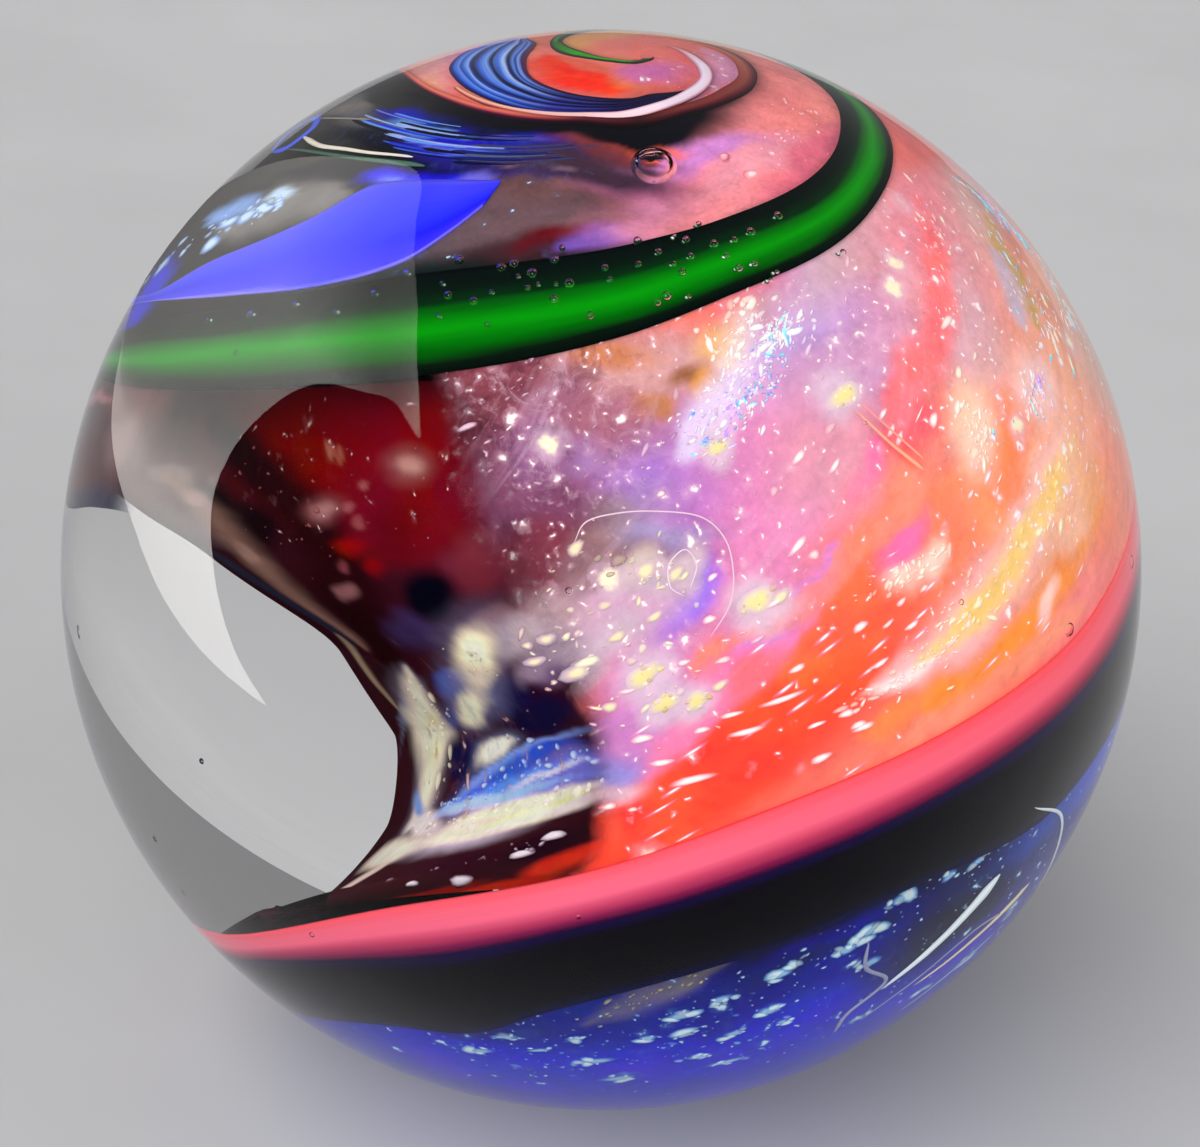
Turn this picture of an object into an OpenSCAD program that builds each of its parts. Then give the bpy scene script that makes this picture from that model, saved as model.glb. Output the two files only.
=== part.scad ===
// Art-glass marble: one fused ball of clear borosilicate glass with coloured
// glass twisted into it. Ball, colours and all are a single solid, so the
// model is one node. The ball's centre is the origin, and +Z is the axis that
// the colours are twisted round, with the spiral that shows on top at +Z.
// The colours themselves are glass in glass: they leave no edge, gap or seam,
// so the only inner surfaces are the air bubbles that the work trapped.

/* [Ball] */
// Diameter of the ball
marble_d = 45; // [20:0.5:80]

/* [Air bubbles] */
// Diameter of the large bubble that lies above the green band
large_bubble_d = 1.7; // [0.6:0.1:3]
// Glass between the large bubble and the ball's surface
large_bubble_cover = 0.5; // [0.4:0.1:4]
// Height of the large bubble above the ball's equator, in degrees
large_bubble_latitude = 69; // [-80:1:80]
// Turn of the large bubble round the axis from the front, in degrees
large_bubble_turn = 6; // [-180:1:180]
// Diameter of the two seed bubbles near the right-hand side
seed_bubble_d = 0.6; // [0.3:0.05:1.5]
// Glass between a seed bubble and the ball's surface
seed_bubble_cover = 0.5; // [0.3:0.1:3]
// Height of the seed bubbles above the equator, in degrees
seed_bubble_latitude = 13; // [-80:1:80]
// Turn of the first seed bubble round the axis from the front, in degrees
seed_bubble_turn = 55; // [-180:1:180]
// Turn from the first seed bubble to the second one, in degrees
seed_bubble_step = 19; // [10:1:40]

/* [Hidden] */
ball_facets = 180;
bubble_facets = 48;
marble_r = marble_d / 2;

// Places its children on the ray at this latitude and turn from the front (-Y)
module out_along(latitude, turn, distance) {
    rotate([0, 0, turn - 90]) rotate([0, -latitude, 0]) translate([distance, 0, 0]) children();
}

// A round void with the stated thickness of glass over it
module air_bubble(d, cover, latitude, turn) {
    out_along(latitude, turn, marble_r - cover - d / 2) sphere(d = d, $fn = bubble_facets);
}

module air_bubbles() {
    air_bubble(large_bubble_d, large_bubble_cover, large_bubble_latitude, large_bubble_turn);
    for (i = [0, 1])
        air_bubble(seed_bubble_d, seed_bubble_cover, seed_bubble_latitude,
                   seed_bubble_turn + i * seed_bubble_step);
}

module marble() {
    color([0.86, 0.92, 0.94, 0.5])
        difference() {
            sphere(r = marble_r, $fn = ball_facets);
            air_bubbles();
        }
}

marble();
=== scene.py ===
import math

import bpy
import numpy as np
from mathutils import Matrix, Vector, noise


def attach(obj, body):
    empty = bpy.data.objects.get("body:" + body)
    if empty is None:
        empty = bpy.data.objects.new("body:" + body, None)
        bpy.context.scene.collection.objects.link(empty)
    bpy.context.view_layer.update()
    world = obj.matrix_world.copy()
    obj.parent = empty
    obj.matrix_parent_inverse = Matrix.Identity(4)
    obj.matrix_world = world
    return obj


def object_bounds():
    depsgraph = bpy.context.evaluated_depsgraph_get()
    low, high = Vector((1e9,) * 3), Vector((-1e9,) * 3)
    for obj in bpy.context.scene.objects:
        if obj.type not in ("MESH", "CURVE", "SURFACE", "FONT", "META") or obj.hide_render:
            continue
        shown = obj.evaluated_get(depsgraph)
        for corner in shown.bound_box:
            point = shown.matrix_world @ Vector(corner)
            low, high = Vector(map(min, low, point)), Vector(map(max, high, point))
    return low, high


# An art-glass marble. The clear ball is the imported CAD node. Everything that this script adds is coloured
# glass inside it: ribbons that spiral round +Z between two edges, fields between the ribbons, the folded
# wall that shows through the clear window on the left, and the grains, flakes, threads and bubbles among
# them. A place is a turn and a latitude, in degrees. Turn 0 is the front (-Y) and turn 90 is the right
# (+X). A turn goes on past 360, so that a ribbon can climb round the ball more than once.

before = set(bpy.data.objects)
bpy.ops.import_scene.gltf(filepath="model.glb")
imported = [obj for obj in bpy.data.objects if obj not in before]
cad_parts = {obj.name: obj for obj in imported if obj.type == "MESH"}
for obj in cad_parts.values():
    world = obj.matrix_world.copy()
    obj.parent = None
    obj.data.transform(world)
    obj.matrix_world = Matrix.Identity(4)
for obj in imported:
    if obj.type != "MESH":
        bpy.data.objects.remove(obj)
cad_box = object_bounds()
BALL_R = (cad_box[1].z - cad_box[0].z) / 2
GLASS_IOR = 1.47
# How much of its head-on reflection the glass keeps, so that the pale floor doesn't veil the colours
GLOSS_TINT = 0.15
# The camera: its distance and the shift of its aim, in ball radii, its height above the ball's waist and
# its roll, in degrees, and its lens, in millimetres
CAMERA_AWAY = 5.2
CAMERA_AIM = (-0.002, -0.0066, 0)
CAMERA_RISE = 25.9
CAMERA_ROLL = 4.3
CAMERA_LENS = 82.8
DEGREES = 180 / math.pi
WHITE = (255, 255, 255)
# Without a seed, Blender's noise vectors differ from run to run
noise.seed_set(1)

# How far out each layer lies, as a share of the ball's radius
FIELD_DEPTH = 0.945
NIGHT_DEPTH = FIELD_DEPTH - 0.004
BAND_DEPTH = 0.952
LINE_DEPTH = 0.960
GRAIN_DEPTH = 0.961
WALL_DEPTH = 0.922
BUBBLE_DEPTH = 0.975
# where the white dots painted under the bubbles, as painted glints, lie
PAINTED_GLINT_DEPTH = 0.9575
SHEET_THICKNESS = 0.012
# A grain: where its rings lie, as shares of its size, and how far its crown stands up, its rim sinks and
# its root goes down, as shares of the ball's radius. One longer than LARGE_GRAIN degrees always has its
# full colour.
GRAIN_RINGS = (0.35, 0.6, 0.82, 1.0, 1.25)
GRAIN_CROWN, GRAIN_SINK, GRAIN_ROOT = 0.0035, 0.0008, 0.005
LARGE_GRAIN = 0.9
# Where the large bubble lies, and how far a sheet sinks to pass under it
BUBBLE_PLACE = (6, 69)
HOLLOW_DEPTH = 0.048
# The turn at which the fields and the pink line end, on their second time round, near the pole
LAST_TURN = 540


# ---------------------------------------------------------------- places and curves

def heading(turn, latitude):
    """Unit vectors towards these turns and latitudes."""
    t, l = np.radians(turn), np.radians(latitude)
    return np.stack([np.sin(t) * np.cos(l), -np.cos(t) * np.cos(l), np.sin(l) + 0 * t], -1)


def smooth_line(points):
    """A smooth curve through (turn, latitude) points that never overshoots them, as a function of the
    turn."""
    x, y = np.array(points, float).T
    rise = np.diff(y) / np.diff(x)
    one_way = rise[:-1] * rise[1:] > 0
    total = np.where(one_way, rise[:-1] + rise[1:], 1)
    slope = np.concatenate([rise[:1], np.where(one_way, 2 * rise[:-1] * rise[1:] / total, 0), rise[-1:]])

    def latitude(turn):
        turn = np.clip(turn, x[0], x[-1])
        i = np.clip(np.searchsorted(x, turn, "right") - 1, 0, len(x) - 2)
        width = x[i + 1] - x[i]
        s = (turn - x[i]) / width
        ends = (1 + 2 * s) * (1 - s) ** 2 * y[i] + s * s * (3 - 2 * s) * y[i + 1]
        slopes = s * (1 - s) ** 2 * slope[i] + s * s * (s - 1) * slope[i + 1]
        return ends + width * slopes

    return latitude


def smooth_path(points, count):
    """Points along a smooth curve through the given ones, with its ends kept."""
    points = np.array(points, float)
    padded = np.concatenate([2 * points[:1] - points[1:2], points, 2 * points[-1:] - points[-2:-1]])
    t = np.linspace(0, len(points) - 1, count)
    i = np.minimum(t.astype(int), len(points) - 2)
    u = (t - i)[:, None]
    a, b, c, d = (padded[i + k] for k in range(4))
    square, cube = 2 * a - 5 * b + 4 * c - d, 3 * b - a - 3 * c + d
    return 0.5 * (2 * b + (c - a) * u + square * u ** 2 + cube * u ** 3)


def smooth_step(low, high, x):
    """0 at low and 1 at high, smooth in between."""
    s = np.clip((x - low) / (high - low), 0, 1)
    return s * s * (3 - 2 * s)


def axes_at(turn, latitude):
    """The directions east, north and outwards at a place."""
    out = heading(turn, latitude)
    east = heading(turn + 90, 0)
    return east, np.cross(out, east), out


def unit(vectors):
    return vectors / np.linalg.norm(vectors, axis=-1, keepdims=True)


def linear(colour):
    """A colour as Blender holds it, from its 0-255 display values."""
    c = np.array(colour, float) / 255
    return np.where(c <= 0.04045, c / 12.92, ((c + 0.055) / 1.055) ** 2.4)


def plain(value):
    return np.array(value, float) / 255


def dimmed(colour, share):
    return tuple(share * np.array(colour))


GREEN_TOP = smooth_line([
    (-200, -16), (-150, -1), (-93, 22), (-64, 37), (-31, 51), (0, 58), (20, 61.6), (44, 64.8), (66, 67.4),
    (80, 68.6), (106, 69.8), (145, 72), (200, 75.8), (230, 79.5), (258, 84.4), (275, 86.2), (303, 88.1),
    (340, 88.9), (407, 89.6), (470, 88.6)])
GREEN_LOW = smooth_line([
    (-200, -16.5), (-150, -6), (-93, 17.5), (-64, 28), (-40, 36.5), (0, 48), (19, 53.2), (38, 56.6),
    (62, 60.6), (80, 62.6), (107, 64.5), (145, 67.5), (200, 73.5), (230, 78), (258, 81.6), (281, 85.2),
    (303, 87), (340, 88.1), (407, 88.9), (470, 88.5)])
PINK_TOP = smooth_line([
    (-200, -74), (-120, -56), (-80, -43), (-47, -29), (-17, -11), (0, -4), (21, 4), (44, 9.3), (56, 11.4),
    (66, 13.6), (76, 15.6), (150, 28), (210, 48), (258, 65.6), (283, 69.4), (308, 71.9), (326, 73.4),
    (342, 74.9), (360, 76.5), (375, 77.7), (396, 79.1), (422, 80), (458, 79.9), (495, 79.2), (540, 80)])
PINK_LOW = smooth_line([
    (-200, -75), (-120, -60), (-80, -47), (-47, -33.4), (-36, -27), (-24, -20.8), (-14, -16.5),
    (-6, -12.9), (1, -9.8), (9, -6.8), (16, -4.3), (24, -1.8), (33, 0.6), (43, 2.8), (56, 5.1), (65, 6.7),
    (72, 8), (150, 22), (210, 45), (258, 64.8), (283, 68.6), (308, 70.9), (326, 72.4), (342, 73.9),
    (360, 75.3), (383, 76.8), (417, 77.9), (450, 78), (495, 77.8), (540, 79.2)])
BLACK_LOW = smooth_line([
    (-200, -76), (-120, -66), (-80, -55), (-47, -44), (-21, -31.5), (-11, -29), (-2, -22.9), (6, -18.8),
    (14, -15.6), (22, -13), (30, -10.2), (40, -8.4), (52, -8), (66, -5), (90, -1), (150, 7), (210, 28),
    (262, 62)])
NIGHT_LOW = smooth_line([
    (-200, -90), (165, -90), (172, -70), (186, -50), (190, -22), (196, -14), (210, -4), (267, 21),
    (296, 36), (329, 50), (360, 56.5), (399, 61.5), (460, 64), (505, 67), (560, 74)])
VEIL_LOW = smooth_line([(-112, 1), (-79, 8), (-68, 13), (-60, 16), (-50, 18.5)])
EMBER_START = smooth_line([
    (-30, -7), (-8, -7.2), (-6, -3.2), (-3.5, -0.7), (0, 0.4), (3.5, 0.4), (8, 0.1), (14, -2.6), (25, -13),
    (41, -24), (60, -40)])
# Where the folded wall meets the ember field, hidden under it
WALL_START = smooth_line([
    (-30, -8), (-8, -4), (-4, -2.5), (3.5, 1.5), (8, 2), (14, -2), (25, -13), (41, -24), (60, -40)])


# ---------------------------------------------------------------- fields of colour

def patch(turn, latitude, along, across, slant, colour, strength=1.0, soft=0.6):
    """A soft oval of colour. along and across are its half sizes in degrees, and slant is how far its long
    axis climbs to the right."""
    return dict(centre=(turn, latitude), size=(along, across), slant=slant, colour=colour,
                strength=strength, soft=soft)


def streak(points, width, colour, strength=1.0, soft=0.7):
    """A soft line of colour through (turn, latitude) points. width is its half width in the middle, and it
    thins to both ends."""
    return dict(points=points, width=width, colour=colour, strength=strength, soft=soft)


def on_ball(place):
    """A turn and a latitude as a spot, which is a point of a ball whose degrees are one unit long."""
    return heading(*place) * DEGREES


def on_wall(place):
    """A place on the folded wall as a spot of a flat sheet."""
    return np.array([*place, 0.0])


def wander(spots, scale, seed):
    """A smooth random push for each spot, as a vector of about unit length."""
    shift = Vector((seed, 2.3 * seed, 5.1 * seed))
    return np.array([noise.turbulence_vector(Vector(p) * scale + shift, 3, False) for p in spots])


def paint(spots, base, marks, seed, push=1.6, where=on_ball, shade=linear):
    """The colour at each spot: the base, with the marks laid over it in order, their edges wandering by
    about push degrees. where turns a mark's place into a spot, and shade turns its colour into the numbers
    that are kept."""
    tint = np.tile(shade(base), (len(spots), 1))
    bent = spots + push * wander(spots, 0.09, seed) + push / 3 * wander(spots, 0.3, seed)
    for mark in marks:
        if "points" in mark:
            line = smooth_path([where(p) for p in mark["points"]], 40)
            gap = np.stack([np.linalg.norm(bent - p, axis=1) for p in line])
            taper = np.sqrt(np.sin(np.linspace(0.06, math.pi - 0.06, len(line))))
            reach = (gap / (mark["width"] * taper[:, None])).min(0)
        else:
            east, north, out = axes_at(*mark["centre"]) if where is on_ball else np.eye(3)
            offset = bent - where(mark["centre"])
            x, y = offset @ east, offset @ north
            c, s = math.cos(math.radians(mark["slant"])), math.sin(math.radians(mark["slant"]))
            reach = np.hypot((c * x + s * y) / mark["size"][0], (c * y - s * x) / mark["size"][1])
            # a patch doesn't show again on the ball's far side
            reach += 9.0 * (offset @ out < -DEGREES)
        share = mark["strength"] * (1 - smooth_step(1 - mark["soft"], 1 + mark["soft"], reach))
        tint += share[:, None] * (shade(mark["colour"]) - tint)
    return tint


def marked(base, marks, seed):
    """A tint for a sheet: a base colour with marks on it."""
    return lambda spots, turns: paint(spots, base, marks, seed)


def by_turn(*stops):
    """A tint for a ribbon that changes along it, through (turn, colour) stops."""
    at = [turn for turn, _ in stops]
    colours = np.array([linear(colour) for _, colour in stops])
    return lambda spots, turns: np.stack([np.interp(turns, at, colours[:, k]) for k in range(3)], -1)


def grained(marks, seed):
    """The shares of frit, dashes and milk at each spot of a field, from marks whose colours are those
    shares."""
    return lambda spots: paint(spots, (0, 0, 0), marks, seed, shade=plain)


# ---------------------------------------------------------------- meshes

def new_piece(name, points, faces, attributes, uv=None):
    """A smooth mesh, with its attributes as colours at its points and uv as its flow."""
    mesh = bpy.data.meshes.new(name)
    mesh.from_pydata((points * BALL_R).tolist(), [], faces)
    if uv is not None:
        corner = np.empty(len(mesh.loops), int)
        mesh.loops.foreach_get("vertex_index", corner)
        mesh.uv_layers.new(name="flow").data.foreach_set("uv", uv[corner].astype(np.float32).ravel())
    for key, values in attributes.items():
        colours = np.ones((len(points), 4), np.float32)
        colours[:, :values.shape[1]] = values
        mesh.color_attributes.new(key, "FLOAT_COLOR", "POINT").data.foreach_set("color", colours.ravel())
    mesh.polygons.foreach_set("use_smooth", np.ones(len(faces), bool))
    mesh.validate()
    piece = bpy.data.objects.new(name, mesh)
    bpy.context.scene.collection.objects.link(piece)
    return piece


def finish_piece(piece, material):
    piece.data.materials.append(material)
    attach(piece, "root")


def quads_of(index):
    """The faces of a grid of points, from their numbers."""
    return corners(index[:-1, :-1], index[1:, :-1], index[1:, 1:], index[:-1, 1:])


def corners(a, b, c, d):
    return np.stack([a, b, c, d], -1).reshape(-1, 4)


def closed_sheet(name, face, back, uv, **attributes):
    """A closed sheet of glass: a grid of points for its face, one for its back, and walls along its four
    edges. uv and the attributes are for the face, and the back repeats them."""
    rows, cols = face.shape[:2]
    index = np.arange(rows * cols).reshape(rows, cols)
    front = quads_of(index)
    rear = front[:, ::-1] + rows * cols
    rim = np.concatenate([index[0, ::-1], index[1:, 0], index[-1, 1:], index[-2:0:-1, -1]])
    after = np.roll(rim, -1)
    walls = corners(rim, rim + rows * cols, after + rows * cols, after)
    points = np.concatenate([face.reshape(-1, 3), back.reshape(-1, 3)])
    twice = {key: np.concatenate([values.reshape(rows * cols, -1)] * 2)
             for key, values in attributes.items()}
    return new_piece(name, points, np.concatenate([front, rear, walls]).tolist(), twice,
                     np.concatenate([uv.reshape(-1, 2)] * 2))


def turn_rows(start, end, fine, coarse, close=(-40, 115)):
    """Turns from start to end: fine steps where the front faces the camera, and coarse ones elsewhere."""
    rows = [start]
    while rows[-1] < end:
        rows.append(rows[-1] + (fine if close[0] <= rows[-1] < close[1] else coarse))
    return np.array(rows[:-1] + [end], float)


def hollow(out):
    """How far a sheet sinks to pass under the large bubble, as a share of the ball's radius."""
    away = np.degrees(np.arccos(np.clip(out @ heading(*BUBBLE_PLACE), -1, 1)))
    return HOLLOW_DEPTH * smooth_step(10.0, 3.2, away)[..., None]


def ribbon(name, material, low, high, rows, depth, across, tint=by_turn((0, WHITE)), grain=None,
           start=None, pad=(0.0, 0.0), swell=0.0, cover=None):
    """Makes a sheet between two edges, from the first turn in rows to the last, with so many points across.
    tint gives its colours from its spots and turns, and grain its shares of grains. start bends its first
    end to follow a line of turn against latitude, pad widens it under its neighbours, swell lifts its
    middle, and cover, from turns and latitudes, is 0 where the glass is too thin to see and 1 where it
    hides what lies under it."""
    share = np.linspace(0, 1, across)[None, :]
    turn = np.repeat(rows[:, None], across, 1)
    blend = np.clip(1 - (rows[:, None] - rows[0]) / 120, 0, 1)
    for _ in range(6):
        bottom = low(turn) - pad[0]
        latitude = np.clip(bottom + (high(turn) + pad[1] - bottom) * share, -89.9, 89.9)
        if start is not None:
            turn = rows[:, None] + (start(latitude[:1]) - rows[0]) * blend
    out = heading(turn, latitude)
    uv = np.stack([turn / 360, np.broadcast_to(share, turn.shape)], -1)
    radius = depth + swell * np.sin(math.pi * share)[..., None] - hollow(out)
    spots = out.reshape(-1, 3) * DEGREES
    attributes = dict(tint=tint(spots, turn.ravel()))
    if cover is not None:
        share_seen = cover(turn, latitude).reshape(-1, 1)
        attributes["tint"] = np.concatenate([attributes["tint"], share_seen], 1)
    if grain is not None:
        attributes["grain"] = grain(spots)
    back = out * (depth - SHEET_THICKNESS - hollow(out))
    finish_piece(closed_sheet(name, out * radius, back, uv, **attributes), material)


def ball_seat(turn, latitude, depth=FIELD_DEPTH):
    """Where a grain in a field lies, and the directions right, up and outwards there."""
    east, north, out = axes_at(turn, latitude)
    return out * depth, east, north, out


def seeds(name, spots, under, material, sides=10, seat=ball_seat, where=on_ball):
    """Makes many small flat grains of glass in one mesh, set into a field whose colours under gives. Each
    spot is (two numbers for its place, along, across, slant, core, edge), with its half sizes in degrees
    and the colours of its middle and of the ring round that. Its rim has the field's own colour, so that it
    melts into the field."""
    random = np.random.default_rng(len(spots))
    angle = np.linspace(0, 2 * math.pi, sides, endpoint=False)
    field = under(np.array([where(spot[:2]) for spot in spots]), None)
    points, faces, tint = [], [], []
    for around, (at, up, along, across, slant, core, edge) in zip(field, spots):
        middle, east, north, out = seat(at, up)
        c, s = math.cos(math.radians(slant)), math.sin(math.radians(slant))
        wobble = 1 + 0.13 * np.sin(2 * angle + random.uniform(0, 6))
        wobble = wobble + 0.09 * np.sin(3 * angle + random.uniform(0, 6))
        x, y = along * np.cos(angle) * wobble / DEGREES, across * np.sin(angle) * wobble / DEGREES
        ring = np.outer(c * x - s * y, east) + np.outer(s * x + c * y, north)
        base = middle - GRAIN_SINK * out
        first = len(points)
        points.append(base + GRAIN_CROWN * out)
        for reach in GRAIN_RINGS:
            points += list(base + reach * ring + GRAIN_CROWN * (1 - reach * reach) * out)
        points.append(base - GRAIN_ROOT * out)
        shine = 1.0 if along > LARGE_GRAIN else random.uniform(0.3, 1.0)
        inner, outer = (around + shine * (linear(colour) - around) for colour in (core, edge))
        colours = [inner, 0.3 * inner + 0.7 * outer, 0.4 * outer + 0.6 * around, around, around]
        tint += [inner] + [colour for colour in colours for _ in range(sides)] + [around]
        rings = [[first + 1 + k * sides + i for i in range(sides)] for k in range(len(GRAIN_RINGS))]
        last = first + 1 + len(GRAIN_RINGS) * sides
        for i in range(sides):
            j = (i + 1) % sides
            faces.append((first, rings[0][i], rings[0][j]))
            faces += [(a[i], b[i], b[j], a[j]) for a, b in zip(rings, rings[1:])]
            faces.append((rings[-1][i], last, rings[-1][j]))
    finish_piece(new_piece(name, np.array(points), faces, dict(tint=np.array(tint))), material)


def tubes(name, routes, material, sides=8):
    """Makes round threads of glass in one mesh. Each route is (points, radius, tail, colour), and a depth
    where it isn't GRAIN_DEPTH. It runs through (turn, latitude) points, and its radius in degrees goes from
    radius at its start to tail at its end."""
    points, faces, tint = [], [], []
    angle = np.linspace(0, 2 * math.pi, sides, endpoint=False)
    for route in routes:
        places, radius, tail, colour, depth = (*route, GRAIN_DEPTH)[:5]
        count = 10 * len(places)
        out = unit(smooth_path([on_ball(p) / DEGREES for p in places], count))
        side = unit(np.cross(np.gradient(out, axis=0), out))
        thick = np.linspace(radius, tail, count) * np.minimum(1, np.sqrt(np.linspace(0.02, 8, count)))
        thick = np.minimum(thick, thick[::-1].max() * np.sqrt(np.linspace(8, 0.02, count))) / DEGREES
        first = len(points)
        for o, s, r in zip(out, side, thick):
            points += list(o * depth + r * (np.outer(np.cos(angle), s) + np.outer(np.sin(angle), o)))
        tint += [linear(colour)] * (count * sides)
        for k in range(count - 1):
            a, b = first + k * sides, first + (k + 1) * sides
            faces += [(a + i, a + (i + 1) % sides, b + (i + 1) % sides, b + i) for i in range(sides)]
        faces.append([first + i for i in reversed(range(sides))])
        faces.append([first + (count - 1) * sides + i for i in range(sides)])
    finish_piece(new_piece(name, np.array(points), faces, dict(tint=np.array(tint))), material)


def slope_at(line, turn):
    """How far a line climbs to the right at a turn, as an angle on the ball in degrees."""
    rise = (line(turn + 1) - line(turn - 1)) / 2
    return math.degrees(math.atan2(rise, math.cos(math.radians(float(line(turn))))))


def sweep_slant(latitude):
    """How the ember field's streaks lie at a latitude: they climb to the right, more steeply towards the
    pole."""
    return 19 + 32 * float(smooth_step(8, 36, latitude))


def along_path(points, width, count, seed):
    """Random places near a path, as (turn, latitude, slant of the path there)."""
    random = np.random.default_rng(seed)
    line = smooth_path(points, 200)
    places = []
    for _ in range(count):
        k = random.integers(1, 199)
        step = line[k + (k < 199)] - line[k - 1]
        latitude = line[k, 1] + random.normal(0, width)
        squeeze = math.cos(math.radians(latitude))
        turn = line[k, 0] + random.normal(0, width) / squeeze
        places.append((turn, latitude, math.degrees(math.atan2(step[1], step[0] * squeeze))))
    return places


def loose_grain(random, place, size, slant, core, rim, stretch=(1, 2), spread=0, gamma=(3.0, 0.36),
                flat=1.0):
    """A spot for seeds() at a place: of about the given size, longer by a factor in stretch, and turned
    from the slant by about spread degrees. gamma is the shape and the scale of the spread of sizes."""
    grow = size * random.gamma(*gamma)
    along = grow * random.uniform(*stretch)
    turned = random.normal(0, spread) if spread else 0
    return (*place, along, flat * grow, slant + turned, core, rim)


def strewn(random, runs, seed, swept=False, **settings):
    """Spots strewn along runs, each (points, width, count, size, core, rim). They lie along their run, or
    where swept is set, along the ember field's streaks. Each run's places come from a seed of their own."""
    spots = []
    for number, (points, width, count, size, core, rim) in enumerate(runs, seed):
        for turn, latitude, slant in along_path(points, width, count, number):
            slant = sweep_slant(latitude) if swept else slant
            spots.append(loose_grain(random, (turn, latitude), size, slant, core, rim, **settings))
    return spots


# ---------------------------------------------------------------- materials

class Shader:
    """A material's nodes, added one at a time."""

    def __init__(self, name):
        self.material = bpy.data.materials.new(name)
        self.material.use_nodes = True
        self.tree = self.material.node_tree
        self.tree.nodes.clear()

    def feed(self, socket, value):
        if isinstance(value, bpy.types.NodeSocket):
            self.tree.links.new(value, socket)
        else:
            socket.default_value = value

    def add(self, kind, inputs, output=0, **settings):
        node = self.tree.nodes.new("ShaderNode" + kind)
        for name, value in settings.items():
            setattr(node, name, value)
        for name, value in inputs.items():
            self.feed(node.inputs[name], value)
        return node.outputs[output]

    def attribute(self, name):
        return self.add("Attribute", {}, attribute_name=name)

    def flow(self, along, across):
        """Coordinates along and across the ribbon, scaled for a noise."""
        uv = self.add("UVMap", {}, uv_map="flow")
        return self.add("Mapping", {"Vector": uv, "Scale": (along, across, 1)})

    def swept(self, across, along):
        """Coordinates across and along the ember field's streaks, which climb to the right."""
        u, v = self.flow_part(0), self.flow_part(1)
        steepening = self.less(0.42, self.times(v, 0.2))
        lean = self.less(u, self.times(v, steepening))
        return self.add("CombineXYZ", {"X": self.times(lean, across), "Y": self.times(v, along)})

    def flow_part(self, axis):
        return self.add("SeparateXYZ", {"Vector": self.add("UVMap", {}, uv_map="flow")}, output=axis)

    def place(self):
        """The place on the ball, in metres."""
        return self.add("TexCoord", {}, output="Object")

    def noise(self, vector, scale, detail=3.0, roughness=0.55, warp=0.0, output=0):
        return self.add("TexNoise", {"Vector": vector, "Scale": scale, "Detail": detail,
                                     "Roughness": roughness, "Distortion": warp}, output=output)

    def bent(self, vector, scale, reach):
        """The vector, pushed about by up to reach."""
        push = self.add("VectorMath", {0: self.noise(vector, scale, output="Color"), 1: (0.5, 0.5, 0.5)},
                        operation="SUBTRACT")
        return self.add("VectorMath", {0: push, 1: (2 * reach,) * 3, 2: vector}, operation="MULTIPLY_ADD")

    def maths(self, operation, a, b):
        return self.add("Math", {0: a, 1: b}, operation=operation)

    def times(self, a, b):
        return self.maths("MULTIPLY", a, b)

    def less(self, a, b):
        return self.maths("SUBTRACT", a, b)

    def between(self, value, low, high, top=1.0):
        """0 at low and top at high, smooth in between."""
        return self.add("MapRange", {"Value": value, "From Min": low, "From Max": high, "To Max": top},
                        interpolation_type="SMOOTHSTEP")

    def mix(self, share, a, b, blend="MIX"):
        return self.add("Mix", {0: share, 6: self.colour(a), 7: self.colour(b)}, output=2, data_type="RGBA",
                        blend_type=blend)

    def colour(self, value):
        return value if isinstance(value, bpy.types.NodeSocket) else (*linear(value), 1)

    def ramp(self, value, stops):
        node = self.tree.nodes.new("ShaderNodeValToRGB")
        elements = node.color_ramp.elements
        while len(elements) < len(stops):
            elements.new(0.5)
        for element, (position, colour) in zip(elements, stops):
            element.position = position
            element.color = (*linear(colour), 1)
        self.feed(node.inputs["Fac"], value)
        return node.outputs["Color"]

    def varied(self, tint, noises, hue=0.0):
        """The tint, lighter and darker with each (noise, amount), and drifting in hue with the first
        one."""
        value = 1.0
        for source, amount in noises:
            value = self.maths("ADD", self.times(self.less(source, 0.5), amount), value)
        turn = self.maths("ADD", self.times(self.less(noises[0][0], 0.5), hue), 0.5)
        return self.add("HueSaturation", {"Color": tint, "Value": value, "Saturation": 1.0, "Hue": turn})

    def flecks(self, under, vector, scale, size, share, core, halo, glow=0.5, dimensions="3D"):
        """Flecks, one to a cell in the given share of the cells: a core in a soft halo, over the colour
        under."""
        node = self.tree.nodes.new("ShaderNodeTexVoronoi")
        node.voronoi_dimensions = dimensions
        self.feed(node.inputs["Vector"], vector)
        node.inputs["Scale"].default_value = scale
        chance = self.add("SeparateColor", {"Color": node.outputs["Color"]})
        present = self.maths("LESS_THAN", chance, share)
        away = node.outputs["Distance"]
        around = self.times(self.between(away, 2.0 * size, 0.5 * size, glow), present)
        inside = self.times(self.between(away, size, 0.4 * size), present)
        return self.mix(inside, self.mix(around, under, halo), core)

    def glass_body(self, colour, cover=None):
        """Coloured glass inside clear glass: it has no surface of its own to shine, so it only scatters.
        Where cover is under 1 it is thin enough to see through."""
        body = self.add("BsdfPrincipled", {"Base Color": self.colour(colour), "Roughness": 0.6,
                                           "Specular IOR Level": 0.0})
        if cover is not None:
            clear = self.add("BsdfTransparent", {"Color": (1, 1, 1, 1)})
            body = self.add("MixShader", {0: cover, 1: clear, 2: body})
        return self.output(body)

    def thinned(self, noise):
        """The cover that a sheet's tint carries, with an edge that wanders with the noise."""
        share = self.add("Attribute", {}, output="Alpha", attribute_name="tint")
        push = self.times(self.less(noise, 0.5), 1.1)
        bent = self.maths("ADD", share, self.times(push, self.less(1.0, share)))
        return self.between(bent, 0.04, 0.96)

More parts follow.
